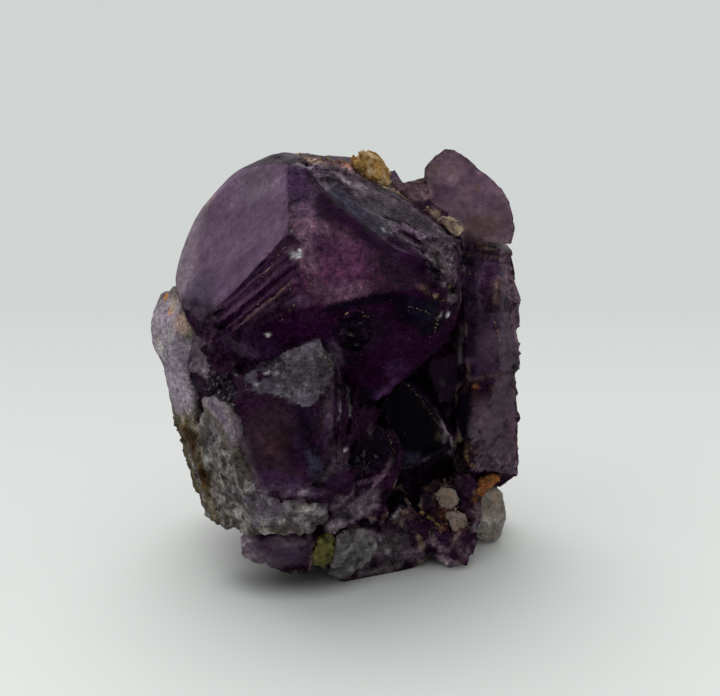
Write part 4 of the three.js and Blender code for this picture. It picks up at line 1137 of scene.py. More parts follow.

# painted glints, pale chips and dark seams, laid over everything else
fluoriteSparks = [
    # the roof's slate bevel, the dark purple edge below it, its cracks and its pale plate
    ("slate", [(-0.6, -9.6, 67.8), (2.8, -11.2, 65.1), (5.3, -11.9, 63.4),
     (7.2, -12.8, 61.6)], 1.5, 0.85, 0.2),
    ("dusk", [(-1.4, -10.6, 67.4), (0.4, -10.9, 66.5), (1.2, -11.6, 65.6)], 1, 0.85, 0.3),
    ("dusk", [(9.2, -12.9, 60.6), (11.5, -12.7, 59.6), (13.7, -12.4, 58.4)], 1.1, 0.9, 0.3),
    ("deep", [(-2.6, -11.6, 66.9), (-0.4, -12.7, 65.1), (2, -13.4, 63.5), (4.5, -14.1, 62),
     (6.9, -14.7, 60.4), (9.3, -15.2, 58.9), (13.6, -14.9, 56.2)], 1.9, 0.95, 0.25),
    ("steel", (7.9, -12.1, 61.7), (1.3, 0.9, 0.9), 0.9, 0.3),
    ("frosted", [(10.2, -10.7, 61.5), (12.7, -9.9, 60.5), (14.2, -9.6, 59.6)], 1.3, 0.9, 0.35),
    ("ink", [(7.6, -9.7, 63.5), (9.6, -9.1, 62.6), (11.8, -8.8, 61.6)], 0.5, 0.9, 0.3),
    ("ink", [(14.8, -13.7, 56.9), (16.5, -12.6, 54.9), (18.2, -11.2, 52.7)], 0.6, 0.95, 0.2),
    ("ink", [(15.6, -11, 58), (17.8, -9.8, 56.9), (19.2, -8.3, 55.8)], 0.5, 0.9, 0.3),
    ("ink", [(16.2, -13.3, 53.9), (18.1, -11.4, 51.9), (20, -9.5, 50.4)], 0.5, 0.9, 0.3),
    ("steel", (17, -12.4, 53.6), (1.2, 1.2, 0.9), 0.8, 0.3),
    ("smoke", (18.3, -9.9, 55.3), (1.4, 1.4, 1.3), 0.7, 0.4),
    ("haze", [(13.6, -10.4, 60), (15.6, -10.6, 58.6)], 0.9, 0.7, 0.6),
    ("haze", [(16.8, -11, 56.6), (18, -10.4, 55.8)], 0.7, 0.7, 0.6),
    ("black", [(17.4, -11, 54.9), (18.4, -9.8, 54.6)], 0.5, 0.9, 0.5),
    ("golden", (18.4, -11.2, 51.8), (0.8, 0.8, 0.6), 0.7, 0.6),
    ("deep", [(8.6, -13.2, 60.7), (10.7, -13.6, 59.4), (12.8, -13.8, 58)], 1.2, 0.95, 0.25),
    ("plum", [(13.2, -13.8, 57.8), (15, -14, 56.6)], 1.2, 0.9, 0.4),
    # the broken steps of the dark hollow
    ("black", [(3.6, -18.6, 49.8), (1.2, -17.8, 48), (3.4, -16.8, 45)], 1.5, 0.9, 0.7),
    ("black", [(1.6, -16.8, 45), (3.8, -15.4, 41.4)], 1.3, 0.9, 0.7),
    ("milky", [(0.6, -17.4, 45.6), (1.9, -16.8, 45.3)], 0.35, 0.9, 0.3),
    ("milky", [(1.6, -16.4, 43.4), (3.2, -15.6, 43.2)], 0.35, 0.9, 0.3),
    ("ash", [(2.6, -17.6, 47.4), (4.4, -17.4, 47.6)], 0.4, 0.8, 0.4),
    # edges and crumbs of the black crystal
    ("haze", [(17.2, -3.9, 27.6), (18.6, -3.5, 24.4), (20, -3, 21.2), (20.6, -3, 19.4)], 0.4, 0.75, 0.5),
    ("smoke", [(20.3, -3.3, 19), (18.2, -4.8, 18.2), (15.2, -6.8, 17.6),
     (12.4, -8.6, 17.4)], 0.45, 0.75, 0.5),
    ("slate", (12.6, -7.8, 19.6), (4, 3, 2.6), 0.35, 0.4),
    ("smoke", (20.3, 2.8, 22.7), (1.6, 2, 4), 0.6, 0.5),
    # the brown and rosy end of the foot
    ("blush", [(25, -5.4, 9.2), (23.8, -6.4, 8)], 1.2, 0.7, 0.4),
    ("brown", [(22.4, -7.4, 10.2), (25.4, -5, 10.4)], 0.7, 0.8, 0.5),
    ("umber", [(18.6, -9.6, 9.9), (16.6, -10.4, 10.8)], 0.8, 0.8, 0.4),
    ("dusk", (13.7, -4.6, 10), (2, 2, 2), 0.8, 0.3),
    # the smoky front and the worn face fade into the crust
    ("ash", [(-17, -20.2, 31), (-15.6, -21.2, 26), (-14.2, -22, 21)], 2.6, 0.6, 0.4),
    ("umber", [(-14, -22.4, 32), (-13, -22.8, 24)], 2.6, 0.5, 0.4),
    ("lilac", [(-13.8, -20, 8.6), (-9, -20.6, 6.4)], 2.6, 0.5, 0.2),
    ("haze", [(-13.6, -22.4, 20.2), (-9, -23.2, 19.8), (-4.6, -23, 20)], 0.9, 0.7, 0.8),
    ("milky", [(-12, -22.8, 19.8), (-6, -23, 19.2)], 0.6, 0.6, 0.8),
    ("slate", [(-4.8, -23.2, 27), (-3.2, -22.6, 24), (-3.6, -22.6, 21)], 1.3, 0.6, 0.5),
    # the sharp upper edge of the broad face beside the blades
    ("black", [(-22.4, -13, 47.2), (-19.4, -15, 48.6), (-17.4, -15.8, 49.8)], 0.9, 0.8, 0.7),
    ("black", [(-21, -14.6, 45.6), (-17, -16.8, 47.4)], 1, 0.8, 0.7),
    ("haze", (-20, -14.6, 47.2), (1.4, 1.2, 0.8), 0.6, 0.7),
    ("milky", [(-24.6, -11.4, 48.2), (-22.2, -13.2, 48.8), (-20.4, -14, 50)], 0.35, 0.8, 0.8),
    # painted glints, white spots standing in for sparkles of reflected light, and pale chips
    ("white", (-6.6, -17.9, 58.9), (1.5, 1.4, 1.2), 1, 0.7),
    ("white", (-6.3, -18.1, 58.7), (0.9, 1, 0.8), 1, 0.5),
    ("white", (-6.4, -18.2, 58.7), (0.7, 0.7, 0.6), 1, 0.2),
    ("white", (-7.3, -18, 58.5), (0.45, 0.5, 0.4), 1, 0.2),
    ("white", (-6, -17.8, 59.8), (0.45, 0.45, 0.4), 1, 0.2),
    ("white", (-7, -17.7, 59.6), (0.35, 0.4, 0.35), 1, 0.2),
    ("snow", (-6.6, -18.3, 57.7), (0.4, 0.4, 0.35), 1, 0.2),
    ("milky", (-7.4, -16.2, 62.4), (0.5, 0.5, 0.5), 0.8, 0.5),
    ("white", (8.5, -9.9, 63.2), (0.45, 0.45, 0.4), 1, 0.2),
    ("white", (9.5, -9.9, 62.8), (0.4, 0.4, 0.4), 1, 0.2),
    ("white", (7.7, -12.2, 61.8), (0.35, 0.35, 0.35), 1, 0.1),
    ("white", (8.8, -12.2, 61.3), (0.35, 0.35, 0.35), 1, 0.1),
    ("milky", (12.7, -9.9, 60.6), (1.1, 0.9, 0.7), 0.8, 0.4),
    ("milky", (14.8, -9.8, 59.4), (0.5, 0.5, 0.6), 0.8, 0.5),
    ("milky", (16.8, -12.6, 53.8), (0.4, 0.4, 0.5), 0.8, 0.4),
    ("snow", (0.3, -18.4, 25.7), (1.3, 1.2, 0.6), 0.9, 0.4),
    ("milky", (-23.4, -9.6, 43), (0.9, 0.9, 0.3), 0.7, 0.5),
    ("haze", [(18.9, -3.8, 21.4), (19.2, -3.4, 23.6)], 0.6, 0.7, 0.5),
    # painted light: a pale spot at the bottom of the foot, where it lies in its own shade
    ("milky", (23.1, -9.2, 2.2), (0.7, 0.8, 0.8), 0.9, 0.3),
    ("milky", (-5.8, -19.9, 4.4), (0.4, 0.4, 0.3), 0.7, 0.4),
    ("snow", (8.8, -14.6, 4.8), (0.5, 0.5, 0.4), 0.9, 0.3),
]

# broken places in the skin: where, reach, softness, pattern, what the pattern is given after the places
# (its size, seed and strength, after a direction for steps), height, and how far it all sinks
fluoriteRelief = [
    # right end of the roof, crusted top, belly of small crystals
    ((16.4, -11.5, 55.5), (6.5, 6, 7), 0.5, chipped, (1.9, 41, 0.4), 1, 0),
    ((-2, -4, 70.5), (7, 8, 4), 0.5, chipped, (1.4, 43, 0.24), 1, 0),
    ((-16, -16.5, 43.5), (12, 7, 6.5), 0.35, clustered, (1.2, 51, 0.75), 1, 0),
    # dark hollow, navy corner, druse
    ([(3.4, -18.6, 50), (2.6, -17.2, 46.2), (2.6, -15.4, 42)], 4, 0.5,
     terraces, ((0.25, 0.1, 0.96), 1.5, 53, 0.5), 0.7, 0),
    ((14, -14.5, 47.8), (5, 5, 4.5), 0.4, terraces, ((0.5, 0.1, 0.86), 1.7, 55, 0.5), 0.45, 0),
    (*druseBall, clustered, (0.8, 57, 0.5), 1, 0),
    # band, right edge and foot of the slab
    ([(22, -0.5, 54.8), (30, 1, 54)], 2.6, 0.5, sawSteps, ((0.2, 0, 1), 1.2, 63, 0.4), 0.9, 0.6),
    ([(31.5, 3, 55), (31.5, 3, 12)], 2.2, 0.5, chipped, (1.8, 65, 0.3), 1, 0),
    ((24, -1, 19), (3.5, 4, 6), 0.5, chipped, (1.5, 67, 0.45), 1, 0),
    # right side of the front block, dark grains below it, folds at the foot
    ((2, -16.5, 30), (3, 4, 12), 0.5, terraces, ((0.8, 0.1, -0.3), 1.5, 73, 0.8), 0.6, 0),
    (*darkBall, clustered, (0.8, 75, 0.5), 1, 0),
    ([(14, -11.6, 10.6), (19, -10.5, 7.4)], 3, 0.5, sawSteps, ((0.55, 0.2, 0.8), 1, 77, 0.3), 0.9, 0.5),
]


def bladeShare(points, field):  # where the stepped blades are
    return nearLine(points, *bladeLine) * (1 - onFacet(field, *broadFace))


def slabSide(points):
    return rising(points, "x", 21.5, 1.5)


def carveFluorite(points, outward, field):
    # small steps, chips and ridges, each in its own place
    broad = onFacet(field, *broadFace)
    flats = [onFacet(field, *facet) for facet in (blackFace, (topBlock[0], 10), blackTop, slabFace)]
    calm = np.maximum.reduce([broad, *flats])
    lift = 0.09 * roughNoise(points, 5, 3, 3) * (1 - 0.6 * calm)

    rise = 0.75 * sawSteps(points, stepAcross, 1.5, 11, 0.02)
    rise = rise + 0.25 * sawSteps(points, stepAcross, 0.75, 12, 0.02)
    ripple = drawnOut(points, stepRun, stepAcross, 8, 0.8, 13)
    lift += bladeShare(points, field) * (0.2 * rise - 0.1 + 0.08 * ripple)

    strip = nearLine(points, [(-7, -7, 70.6), (-6.4, -17.6, 60.5)], 2.4, 0.25) * (1 - broad)
    lift += strip * (0.1 + 0.15 * chipped(points, 1.9, 21, 0.4) + 0.10 * smoothNoise(points, 0.8, 22))

    blueValley = nearLine(points, [(-2, -9, 69), (9.5, -14.5, 59.3)], 2.0, 0.8)
    lift -= 0.5 * blueValley

    roof = nearLine(points, roofLine, 5.6, 0.3) * (1 - blueValley)
    lift += roof * (0.25 * sawSteps(points, np.cross(roofOut, roofRun), 2.3, 31, 0.15) - 0.15)
    lift += roof * 0.12 * chipped(points, 1.6, 33, 0.5)

    for where, reach, soft, pattern, given, height, sunk in fluoriteRelief:
        lift += near(points, where, reach, soft) * (height * pattern(points, *given) - sunk)

    slab = slabSide(points) * rising(points, "z", 57, -2) * rising(points, "y", 8, -3)
    lift += slab * 0.4 * chipped(points, 4.5, 61, 0.22)
    lowFront = rising(points, "z", 17.5, -4) * rising(points, "y", 4, -4)
    lift += lowFront * (1 - 0.7 * nearBall(points, *footBall)) * chipped(points, 2.6, 71, 0.20)
    back = rising(points, "y", 4, 4) * (1 - calm)
    lift += back * (0.30 * terraces(points, stepRun, 3.1, 81, 1.2) + 0.12 * chipped(points, 3.4, 83, 0.5))

    edge = eased(1.2 - field["edgeGap"] / 0.7) * (1 - broad)
    lift -= 0.4 * edge * np.clip(roughNoise(points, 1.3, 87, 2) * 2.6 - 0.3, 0, 1)
    lift += 0.03 * roughNoise(points, 0.9, 91, 2)
    flatBase = rising(points, "z", 1.6, -1.2)
    return points + outward * (lift * (1 - flatBase))[:, None]


def paintFluorite(points, field):
    finishes = fluoriteFinishes
    finish = painted(points, field, finishes, "plum", fluoriteStrokes)
    # the unseen back: the same finishes, spread by chance
    back = rising(points, "y", 3, 4)
    mist = smoothNoise(points, 7, 103)
    wear = np.clip(roughNoise(points, 9, 101, 3) * 2.2 - 0.7, 0, 1)
    laid(finish, finishes["mauve"], back * np.clip(0.35 + 0.5 * mist, 0, 1))
    laid(finish, finishes["violet"], back * np.clip(smoothNoise(points, 5, 105) * 0.8, 0, 1))
    laid(finish, finishes["rusty"], back * wear * np.clip(roughNoise(points, 1.3, 109, 3) * 3 + 0.1, 0, 0.8))
    laid(finish, finishes["milky"], back * np.clip(roughNoise(points, 2.4, 107, 2) * 3 - 1.3, 0, 0.7))
    bladeEnds = bladeShare(points, field) * nearBall(points, (-21, -13.6, 48), (6, 4, 3.6), 0.5)
    laid(finish, finishes["plum"], 0.7 * bladeEnds)
    # scratches, streaks, clouds
    broad = onFacet(field, *broadFace)
    roof = nearLine(points, roofLine, 6.5, 0.3) * (1 - broad)
    scratch = drawnOut(points, stepRun, stepAcross, 12, 0.7, 131)
    streak = drawnOut(points, roofRun, np.cross(roofOut, roofRun), 9, 0.8, 133)
    cloud = roughNoise(points, 5, 135, 3)
    mottle = roughNoise(points, 1.7, 137, 3)
    light = 1 + broad * (0.22 * scratch + 0.25 * cloud) + roof * 0.5 * streak
    light += (1 - broad) * (0.28 * mottle + 0.2 * cloud + 0.4 * roughNoise(points, 0.8, 141, 2))
    finish[:, :3] *= np.clip(light, 0.25, 2.2)[:, None]
    fineScratch = drawnOut(points, stepRun, stepAcross, 8, 0.4, 139)
    laid(finish, finishes["milky"], broad * np.clip(fineScratch * 4 - 1.9, 0, 0.35))
    laid(finish, finishes["mauve"], roof * np.clip(streak * 3 - 1.0, 0, 0.5))
    # worn tan edges, partly a painted highlight where light catches the edges
    edge = eased(1.3 - field["edgeGap"] / 0.5) * np.clip(smoothNoise(points, 2.2, 111) * 1.5, 0, 1)
    dark = np.clip(1.2 - finish[:, :3].sum(axis=1) * 3, 0.15, 1)
    low = np.maximum(rising(points, "z", 20, -4), rising(points, "x", 20, 2))
    laid(finish, finishes["tan"], 0.45 * edge * dark * low)
    return painted(points, field, finishes, finish, fluoriteSparks)


def busyShare(points, field):  # broken places, against the calm crystal faces
    flats = [onFacet(field, *facet) for facet in (broadFace, blackFace, topBlock, blackTop)]
    halfFlats = [0.5 * onFacet(field, *facet) for facet in (underside, smokyFront)]
    slab = slabSide(points) * rising(points, "z", 44, -4) * rising(points, "z", 16, 3)
    calm = np.maximum.reduce([*flats, *halfFlats, slab, 0.8 * nearBall(points, *footBall)])
    return (1 - calm) * (1 - 0.7 * bladeShare(points, field))


def crumbShare(points):  # where brown crumbs sit on the crystals
    share = 0.9 * nearBall(points, (-2.5, -0.5, 71.4), (6.5, 4.5, 2.6), 0.6)
    share += 0.6 * nearLine(points, [(4, 1, 69), (9, 0, 66.8), (16, 1.8, 62.6)], 1.0, 0.6)
    share += 0.6 * nearBall(points, (24.0, -2, 17.6), (1.8, 2.4, 3.6), 0.7)
    share += 0.7 * nearBall(points, (20, -9.4, 8.6), (4.4, 4, 3.8), 0.7)
    share += 0.35 * rising(points, "y", 4, 4) * (roughNoise(points, 6, 121, 2) > 0.35)
    return share * (points[:, 2] > 2)  # clear of the base


def skinned(node, voxel, shards=()):  # a fine skin of the node: mesh, points, triangles, what they lie on
    coarse = coarseShape(node, shards)
    coarseArrays = meshArrays(coarse)
    mesh = fineMesh(coarse, voxel)
    points, triangles = meshArrays(mesh)
    points, field = hugged(points, *coarseArrays, voxel)
    return mesh, points, triangles, field


def finished(mesh, settings):  # the piece of this mesh, in its material
    mesh.materials.clear()
    mesh.materials.append(stoneMaterial(settings["piece"] + "Stone", settings["look"]))
    piece = added(settings["piece"], mesh)
    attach(piece, "root")
    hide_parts(settings["node"])
    print(settings["piece"], "made,", len(mesh.polygons), "triangles")
    return piece


def makeFluorite(settings):
    shards = [shardCorners(*shard) for shard in fluoriteShards]
    mesh, points, triangles, field = skinned(settings["node"], settings["voxel"], shards)
    print("fluorite skin,", len(triangles), "triangles")
    blades = bladeShare(points, field)[:, None]
    points = softened(points, triangles, 3, 0.6 * blades, stepRun)
    rim = nearLine(points, *broadFaceRim)[:, None] * (1 - blades)
    points = softened(points, triangles, settings["rimSoften"], rim)
    setPoints(mesh, points)
    points = points + normals(mesh) * settings["rimSwell"] * rim
    setPoints(mesh, points)
    finish = paintFluorite(points, field)
    druse = np.maximum(nearBall(points, *druseBall), 0.7 * nearBall(points, *darkBall))
    points = carveFluorite(points, normals(mesh), field)
    setPoints(mesh, points)
    setFinish(mesh, finish)
    setMask(mesh, "druse", druse)
    setMask(mesh, "crumb", crumbShare(points))
    setMask(mesh, "busy", busyShare(points, field))
    leftEnd = nearBall(points, (-21, -13.6, 47.4), (5, 4, 3.2), 0.5)
    rightEnd = nearBall(points, (-6.4, -18, 58.8), (2.4, 2.4, 2), 0.3)
    ends = np.maximum(leftEnd, rightEnd)
    setMask(mesh, "banded", eased(2.4 * blades[:, 0]) * (1 - eased(2 * ends)) * 0.92)
    return finished(thinned(mesh, settings["triangles"]), settings)


fluorite = makeFluorite(fluoriteSettings)


# The other minerals: each is its own skin over its own faceted shape
aboveFloor = 0.02  # nothing sinks below the table


def lifted(mesh, points):
    setPoints(mesh, np.column_stack([points[:, :2], np.maximum(points[:, 2], aboveFloor)]))


def stoneSkin(settings):  # the skin before its relief and paint
    voxel = settings["voxel"] * 1
    mesh, points, triangles, field = skinned(settings["node"], voxel)
    points = softened(points, triangles, settings["soften"])
    setPoints(mesh, points)
    return mesh, points, field


def finishedStone(mesh, points, finish, settings):
    lifted(mesh, points)
    setFinish(mesh, finish)
    return finished(mesh, settings)


crustSettings = {
    "node": "quartz_crust", "piece": "quartzCrust", "slot": "quartz",
    "voxel": 0.36, "soften": 10, "swell": 0.25, "seatSwell": 0.75,
    "look": {
        **plainLook,
        "cloud": 5, "fleck": 0.8,
        "cloudLight": (0.8, 1.15), "fleckLight": (0.45, 1.65), "fineLight": (0.5, 1.55),
        "glintFrom": 0.70, "glintShare": 0.35, "glintColour": (0.8, 0.78, 0.8),
        "ior": 1.544, "specular": 0.2, "bump": 0.16, "absorption": (0.72, 0.62, 0.66), "density": 110,
    },
}

crustFinishes = {
    "lilac": (0.471, 0.379, 0.471, 0.25, 0.3),
    "cream": (0.494, 0.397, 0.3, 0.45, 0.15),
    "blush": (0.495, 0.324, 0.273, 0.4, 0.18),
    "orange": (0.5, 0.2, 0.05, 0.55, 0),
    "granular": (0.155, 0.132, 0.104, 0.4, 0.22),
    "hazy": (0.193, 0.171, 0.207, 0.3, 0.3),
    "olive": (0.115, 0.084, 0.034, 0.5, 0.1),
    "brown": (0.15, 0.07, 0.01, 0.6, 0.0),
    "bark": (0.045, 0.021, 0.004, 0.7, 0.0),
    "white": (0.56, 0.53, 0.505, 0.4, 0.12),
    "orchid": (0.186, 0.129, 0.207, 0.35, 0.3),
    "pearl": (0.452, 0.362, 0.429, 0.25, 0.27),
    "dark": (0.017, 0.012, 0.017, 0.3, 0.18),
    "dim": (0.085, 0.068, 0.06, 0.4, 0.15),
}

crustStrokes = [
    ("lilac", [(-30, -4, 44), (-29, -6, 36), (-27, -8, 31)], 6.5, 1, 0.2),
    ("pearl", [(-32, -2, 45), (-31, -4.5, 38)], 2.2, 0.6, 0.2),
    ("orchid", (-26, -8.2, 38.6), (2.8, 3, 2.6), 0.6, 0.3),
    ("blush", (-26.9, -6.8, 44.2), (3.4, 4, 3), 0.95, 0.2),
    ("cream", (-28.6, -4, 46.4), (2.2, 3, 3), 0.7, 0.4),
    ("white", (-30.4, -5.4, 38.4), (1.6, 1.8, 3), 0.6, 0.5),
    ("white", (-29.4, -5.8, 41), (2.2, 2, 2), 0.5, 0.4),
    ("lilac", (-25.6, -8.6, 40), (2.4, 3, 3), 0.8, 0.3),
    ("cream", (-25.8, -9, 28.4), (2.6, 3, 3.6), 0.6, 0.4),
    ("hazy", [(-16.5, -19.6, 16.5), (-8, -22.6, 16.5), (-2.6, -22.4, 16)], 4.6, 0.95, 0.3),
    ("white", [(-17.6, -18.6, 14), (-15, -20.4, 17.6)], 2.4, 0.6, 0.7),
    ("white", [(-8, -22.8, 18.4), (-3, -22.4, 16)], 1.6, 0.6, 0.7),
    ("white", (-5.6, -22.2, 14.4), (2.4, 2, 1.8), 0.7, 0.5),
    ("white", (-18.5, -18.5, 23.4), (1.3, 1.4, 2), 0.8, 0.5),
    ("white", (-16.6, -19.8, 15.2), (3, 3, 2.6), 0.6, 0.6),
    ("white", (-5, -22.6, 17.2), (3, 2, 1.6), 0.6, 0.6),
    ("orchid", (-13.4, -21.4, 17), (4, 3, 3.4), 0.8, 0.4),
    ("orchid", (-12.6, -21.2, 19), (2.6, 3, 1.4), 0.6, 0.4),
    ("orchid", (-7, -22.6, 14), (5, 2.4, 3), 0.4, 0.5),
    ("pearl", [(-22, -15, 33.4), (-19.2, -18, 32.4), (-18, -19.6, 30.8)], 2.8, 0.75, 0.1),
    ("orchid", [(-20.8, -16.4, 33), (-18.9, -18.8, 31.4)], 1.7, 0.8, 0.3),
    ("white", [(-17.6, -20.2, 31.6), (-17.2, -20.6, 29.2)], 1, 0.6, 0.5),
    ("granular", (-18.4, -19.2, 26.6), (3.2, 2.6, 2.4), 0.9, 0.3),
]

crustSpots = [  # stains laid over the mottling
    ("olive", [(-26.4, -8.6, 27), (-25, -10.4, 24), (-23.6, -12, 18), (-21.8, -14.2, 12)], 3.2, 0.9, 0.35),
    ("olive", [(-28, -5.8, 26), (-26.6, -7, 20), (-25, -9, 13)], 3, 0.85, 0.4),
    ("cream", (-24.8, -10.8, 27), (1.8, 2, 2), 0.5, 0.4),
    ("brown", [(-26.6, -8.6, 26), (-26.2, -8.6, 23.4)], 1.9, 0.95, 0.4),
    ("brown", (-25.2, -9.8, 22.4), (1.6, 1.8, 1.8), 0.8, 0.5),
    ("brown", [(-23.8, -11.8, 19.4), (-23.2, -12.4, 16.6)], 1.8, 0.95, 0.4),
    ("brown", [(-21.8, -14.4, 11.8), (-20.4, -15.4, 9.6)], 1, 0.8, 0.5),
    ("dark", (-23, -13, 25.2), (1.6, 2, 2.4), 0.5, 0.5),
    ("dark", [(-26.5, -8.4, 25.2), (-26.2, -8.6, 24)], 0.6, 0.6, 0.6),
    ("dark", [(-23.5, -12, 18.2), (-23.3, -12.2, 17)], 0.6, 0.6, 0.6),
    ("orange", (-30.2, -1.6, 47.4), (1, 1.6, 1.6), 1, 0.3),
    ("orange", (-29.2, -4.1, 45.4), (1, 1.4, 1.2), 0.7, 0.4),
    ("orange", (-27.4, -6.4, 44.8), (0.7, 1, 0.6), 0.5, 0.5),
    ("white", (-31.3, -4.4, 39.4), (1.6, 2.2, 2.6), 0.85, 0.3),
    ("white", (-29.2, -5.9, 42), (1.8, 2, 1.6), 0.6, 0.4),
    ("dim", [(-21.7, -15.3, 30), (-23, -13, 25.2)], 1.6, 0.8, 0.4),
    ("dim", (-16.2, -20.6, 24.8), (1.8, 1.6, 2.2), 0.7, 0.5),
    ("orchid", (-14.8, -20.7, 17.6), (2.2, 1.8, 1.5), 0.8, 0.5),
    ("dark", [(-6.9, -23, 18.8), (-4.7, -21.8, 18)], 1.1, 0.85, 0.4),
    ("orchid", (-9.6, -22.4, 17.2), (2.6, 1.8, 1.6), 0.8, 0.5),
    ("orchid", (-14, -20.9, 13.9), (2, 1.6, 1.6), 0.7, 0.6),
    ("dim", [(-21.2, -15.1, 18.7), (-19.3, -17.3, 17.4)], 1.4, 0.7, 0.6),
    ("bark", (-26.2, -8.8, 24.8), (3.4, 3.6, 2.8), 1, 0.4),
    ("bark", (-25.4, -9.6, 22.4), (2.8, 3, 2), 0.9, 0.6),
    ("bark", [(-25.2, -9.9, 22.4), (-24.8, -10.4, 20.6)], 1.3, 0.9, 0.6),
    ("bark", (-23.7, -12, 18.4), (3.2, 3.4, 3.2), 1, 0.4),
    ("cream", [(-24.4, -11.6, 25), (-23.2, -13, 22)], 0.9, 0.5, 0.7),
    ("cream", (-27.1, -7.9, 27), (1.8, 2, 1.8), 0.5, 0.5),
    ("cream", [(-22.4, -13.8, 14), (-21.4, -15, 11)], 1.2, 0.5, 0.7),
    ("dim", (-16.6, -19.8, 17.2), (2.2, 2, 1.8), 0.9, 0.5),
    ("orchid", (-11.6, -22, 16), (4, 2.4, 2.6), 0.7, 0.5),
    ("dark", [(-15.4, -20.8, 18.8), (-13.4, -21.6, 19)], 1.2, 0.6, 0.5),
    ("orchid", [(-13, -22, 19.2), (-8, -23, 18.8), (-4, -22.6, 18.8)], 1, 0.8, 0.6),
    ("bark", (-22, -14.2, 12), (1, 1.2, 1.6), 0.6, 0.6),
    ("cream", (-27.2, -8.3, 27.4), (1.4, 1.4, 1.4), 0.5, 0.5),
    ("dim", [(-7.9, -22.9, 18.4), (-6.3, -22.8, 16.6)], 1.3, 0.6, 0.5),
    ("white", (-9.7, -22.2, 14.5), (1.6, 1.4, 1.2), 0.6, 0.5),
    ("dark", (-6.5, -21.6, 12.2), (1.6, 1.4, 0.9), 0.6, 0.4),
    ("orchid", (-14.6, -21.2, 21.4), (1.4, 1.4, 1.4), 0.6, 0.5),
    ("bark", (-25.4, -10.4, 24.6), (4.2, 4.2, 2.8), 1, 0.3),
    ("bark", (-23, -13, 18.6), (4, 4, 3.4), 1, 0.3),
    ("brown", (-26.2, -9, 26.2), (1.4, 1.6, 0.9), 0.8, 0.5),
]


def makeCrust(settings):
    mesh, points, field = stoneSkin(settings)
    outward = normals(mesh)
    smooth = np.maximum(nearLine(points, [(-30, -2, 46), (-28, -7, 34)], 8, 0.4),
                        nearLine(points, [(-22, -15, 33), (-17.3, -20.4, 30)], 4, 0.4))
    rough = 1 - smooth
    skin = skinTree(fluorite.data)
    gap = np.array([skin.find_nearest(point)[3] for point in points])  # to the fluorite
    lift = settings["swell"] + settings["seatSwell"] * eased(1.3 - gap / 1.4)
    lift += 0.3 * roughNoise(points, 4, 201, 2)
    lift += rough * (0.6 * chipped(points, 1.9, 205, 0.42) + 0.22 * roughNoise(points, 1.1, 207, 3))
    lift += smooth * 0.10 * chipped(points, 3.2, 209, 0.5)
    finish = painted(points, field, crustFinishes, "granular", crustStrokes)
    finish[:, :3] *= (1 + 0.3 * roughNoise(points, 1.6, 221, 4))[:, None]
    laid(finish, crustFinishes["pearl"], 0.5 * rising(points, "y", 0, 3))
    milk = rough * np.clip(roughNoise(points, 2.6, 211, 4) * 2.4 - 0.5, 0, 0.75)
    shade = rough * np.clip(roughNoise(points, 1.9, 215, 4) * 2.2 - 0.4, 0, 0.6)
    veil = np.clip(roughNoise(points, 4, 219, 3) * 2, 0, 0.5)
    for name, share in (("orchid", veil), ("dark", shade * 0.5), ("white", milk)):
        laid(finish, crustFinishes[name], share)
    grains = rough * np.clip(roughNoise(points, 1.0, 223, 3) * 3 - 0.15, -0.7, 0.4)
    laid(finish, crustFinishes["white"], np.clip(grains, 0, 1))
    laid(finish, crustFinishes["dim"], np.clip(-grains, 0, 1))
    finish = painted(points, field, crustFinishes, finish, crustSpots)
    piece = finishedStone(mesh, points + outward * lift[:, None], finish, settings)
    pale = np.clip(finish[:, 2] / 0.08 - 0.6, 0, 1)  # no sugar on the brown stains
    sugar = rough * pale * np.clip(roughNoise(points, 3, 217, 2) * 2, 0, 1)
    setMask(piece.data, "sugar", sugar * (points[:, 2] > 9))
    return piece


crust = makeCrust(crustSettings)


# Small grains set in the crystals: colours by cloud and by ragged spots
grainFinishes = {
    "ochre": (0.50, 0.28, 0.085, 0.75, 0.0),
    "umber": (0.085, 0.045, 0.018, 0.8, 0.0),
    "cream": (0.72, 0.55, 0.34, 0.7, 0.0),
    "orange": (0.40, 0.12, 0.025, 0.7, 0.0),
    "peach": (0.46, 0.29, 0.2, 0.35, 0.3),
    "fawn": (0.36, 0.24, 0.18, 0.55, 0.15),
    "rose": (0.42, 0.29, 0.25, 0.45, 0.3),
    "rust": (0.30, 0.13, 0.07, 0.6, 0.1),
    "chalk": (0.40, 0.385, 0.385, 0.55, 0.2),
    "grey": (0.16, 0.145, 0.155, 0.5, 0.3),
    "ashen": (0.28, 0.25, 0.26, 0.45, 0.35),
    "moss": (0.17, 0.15, 0.02, 0.45, 0.35),
    "lime": (0.34, 0.31, 0.075, 0.4, 0.35),
    "bottle": (0.06, 0.06, 0.015, 0.4, 0.4),
    "shell": (0.52, 0.44, 0.40, 0.3, 0.55),
    "water": (0.62, 0.60, 0.58, 0.15, 0.75),
}


def grainLook(cloud, fleck, bump, absorption=(0.9, 0.88, 0.88), density=0, **changes):
    sizes = {"cloud": cloud, "fleck": fleck, "fine": 0.2, "bump": bump}
    return {**plainLook, **sizes, "absorption": absorption, "density": density, **changes}


# shared by the grains that don't say otherwise; chips: size, tilt; lumps: size, height;
# finishes: main, where the cloud is high, where it is low; spots: finish, place, reach, strength, ragged
plainGrain = {"slot": "calcite", "voxel": 0.15, "soften": 3, "swell": 0.12, "spots": []}

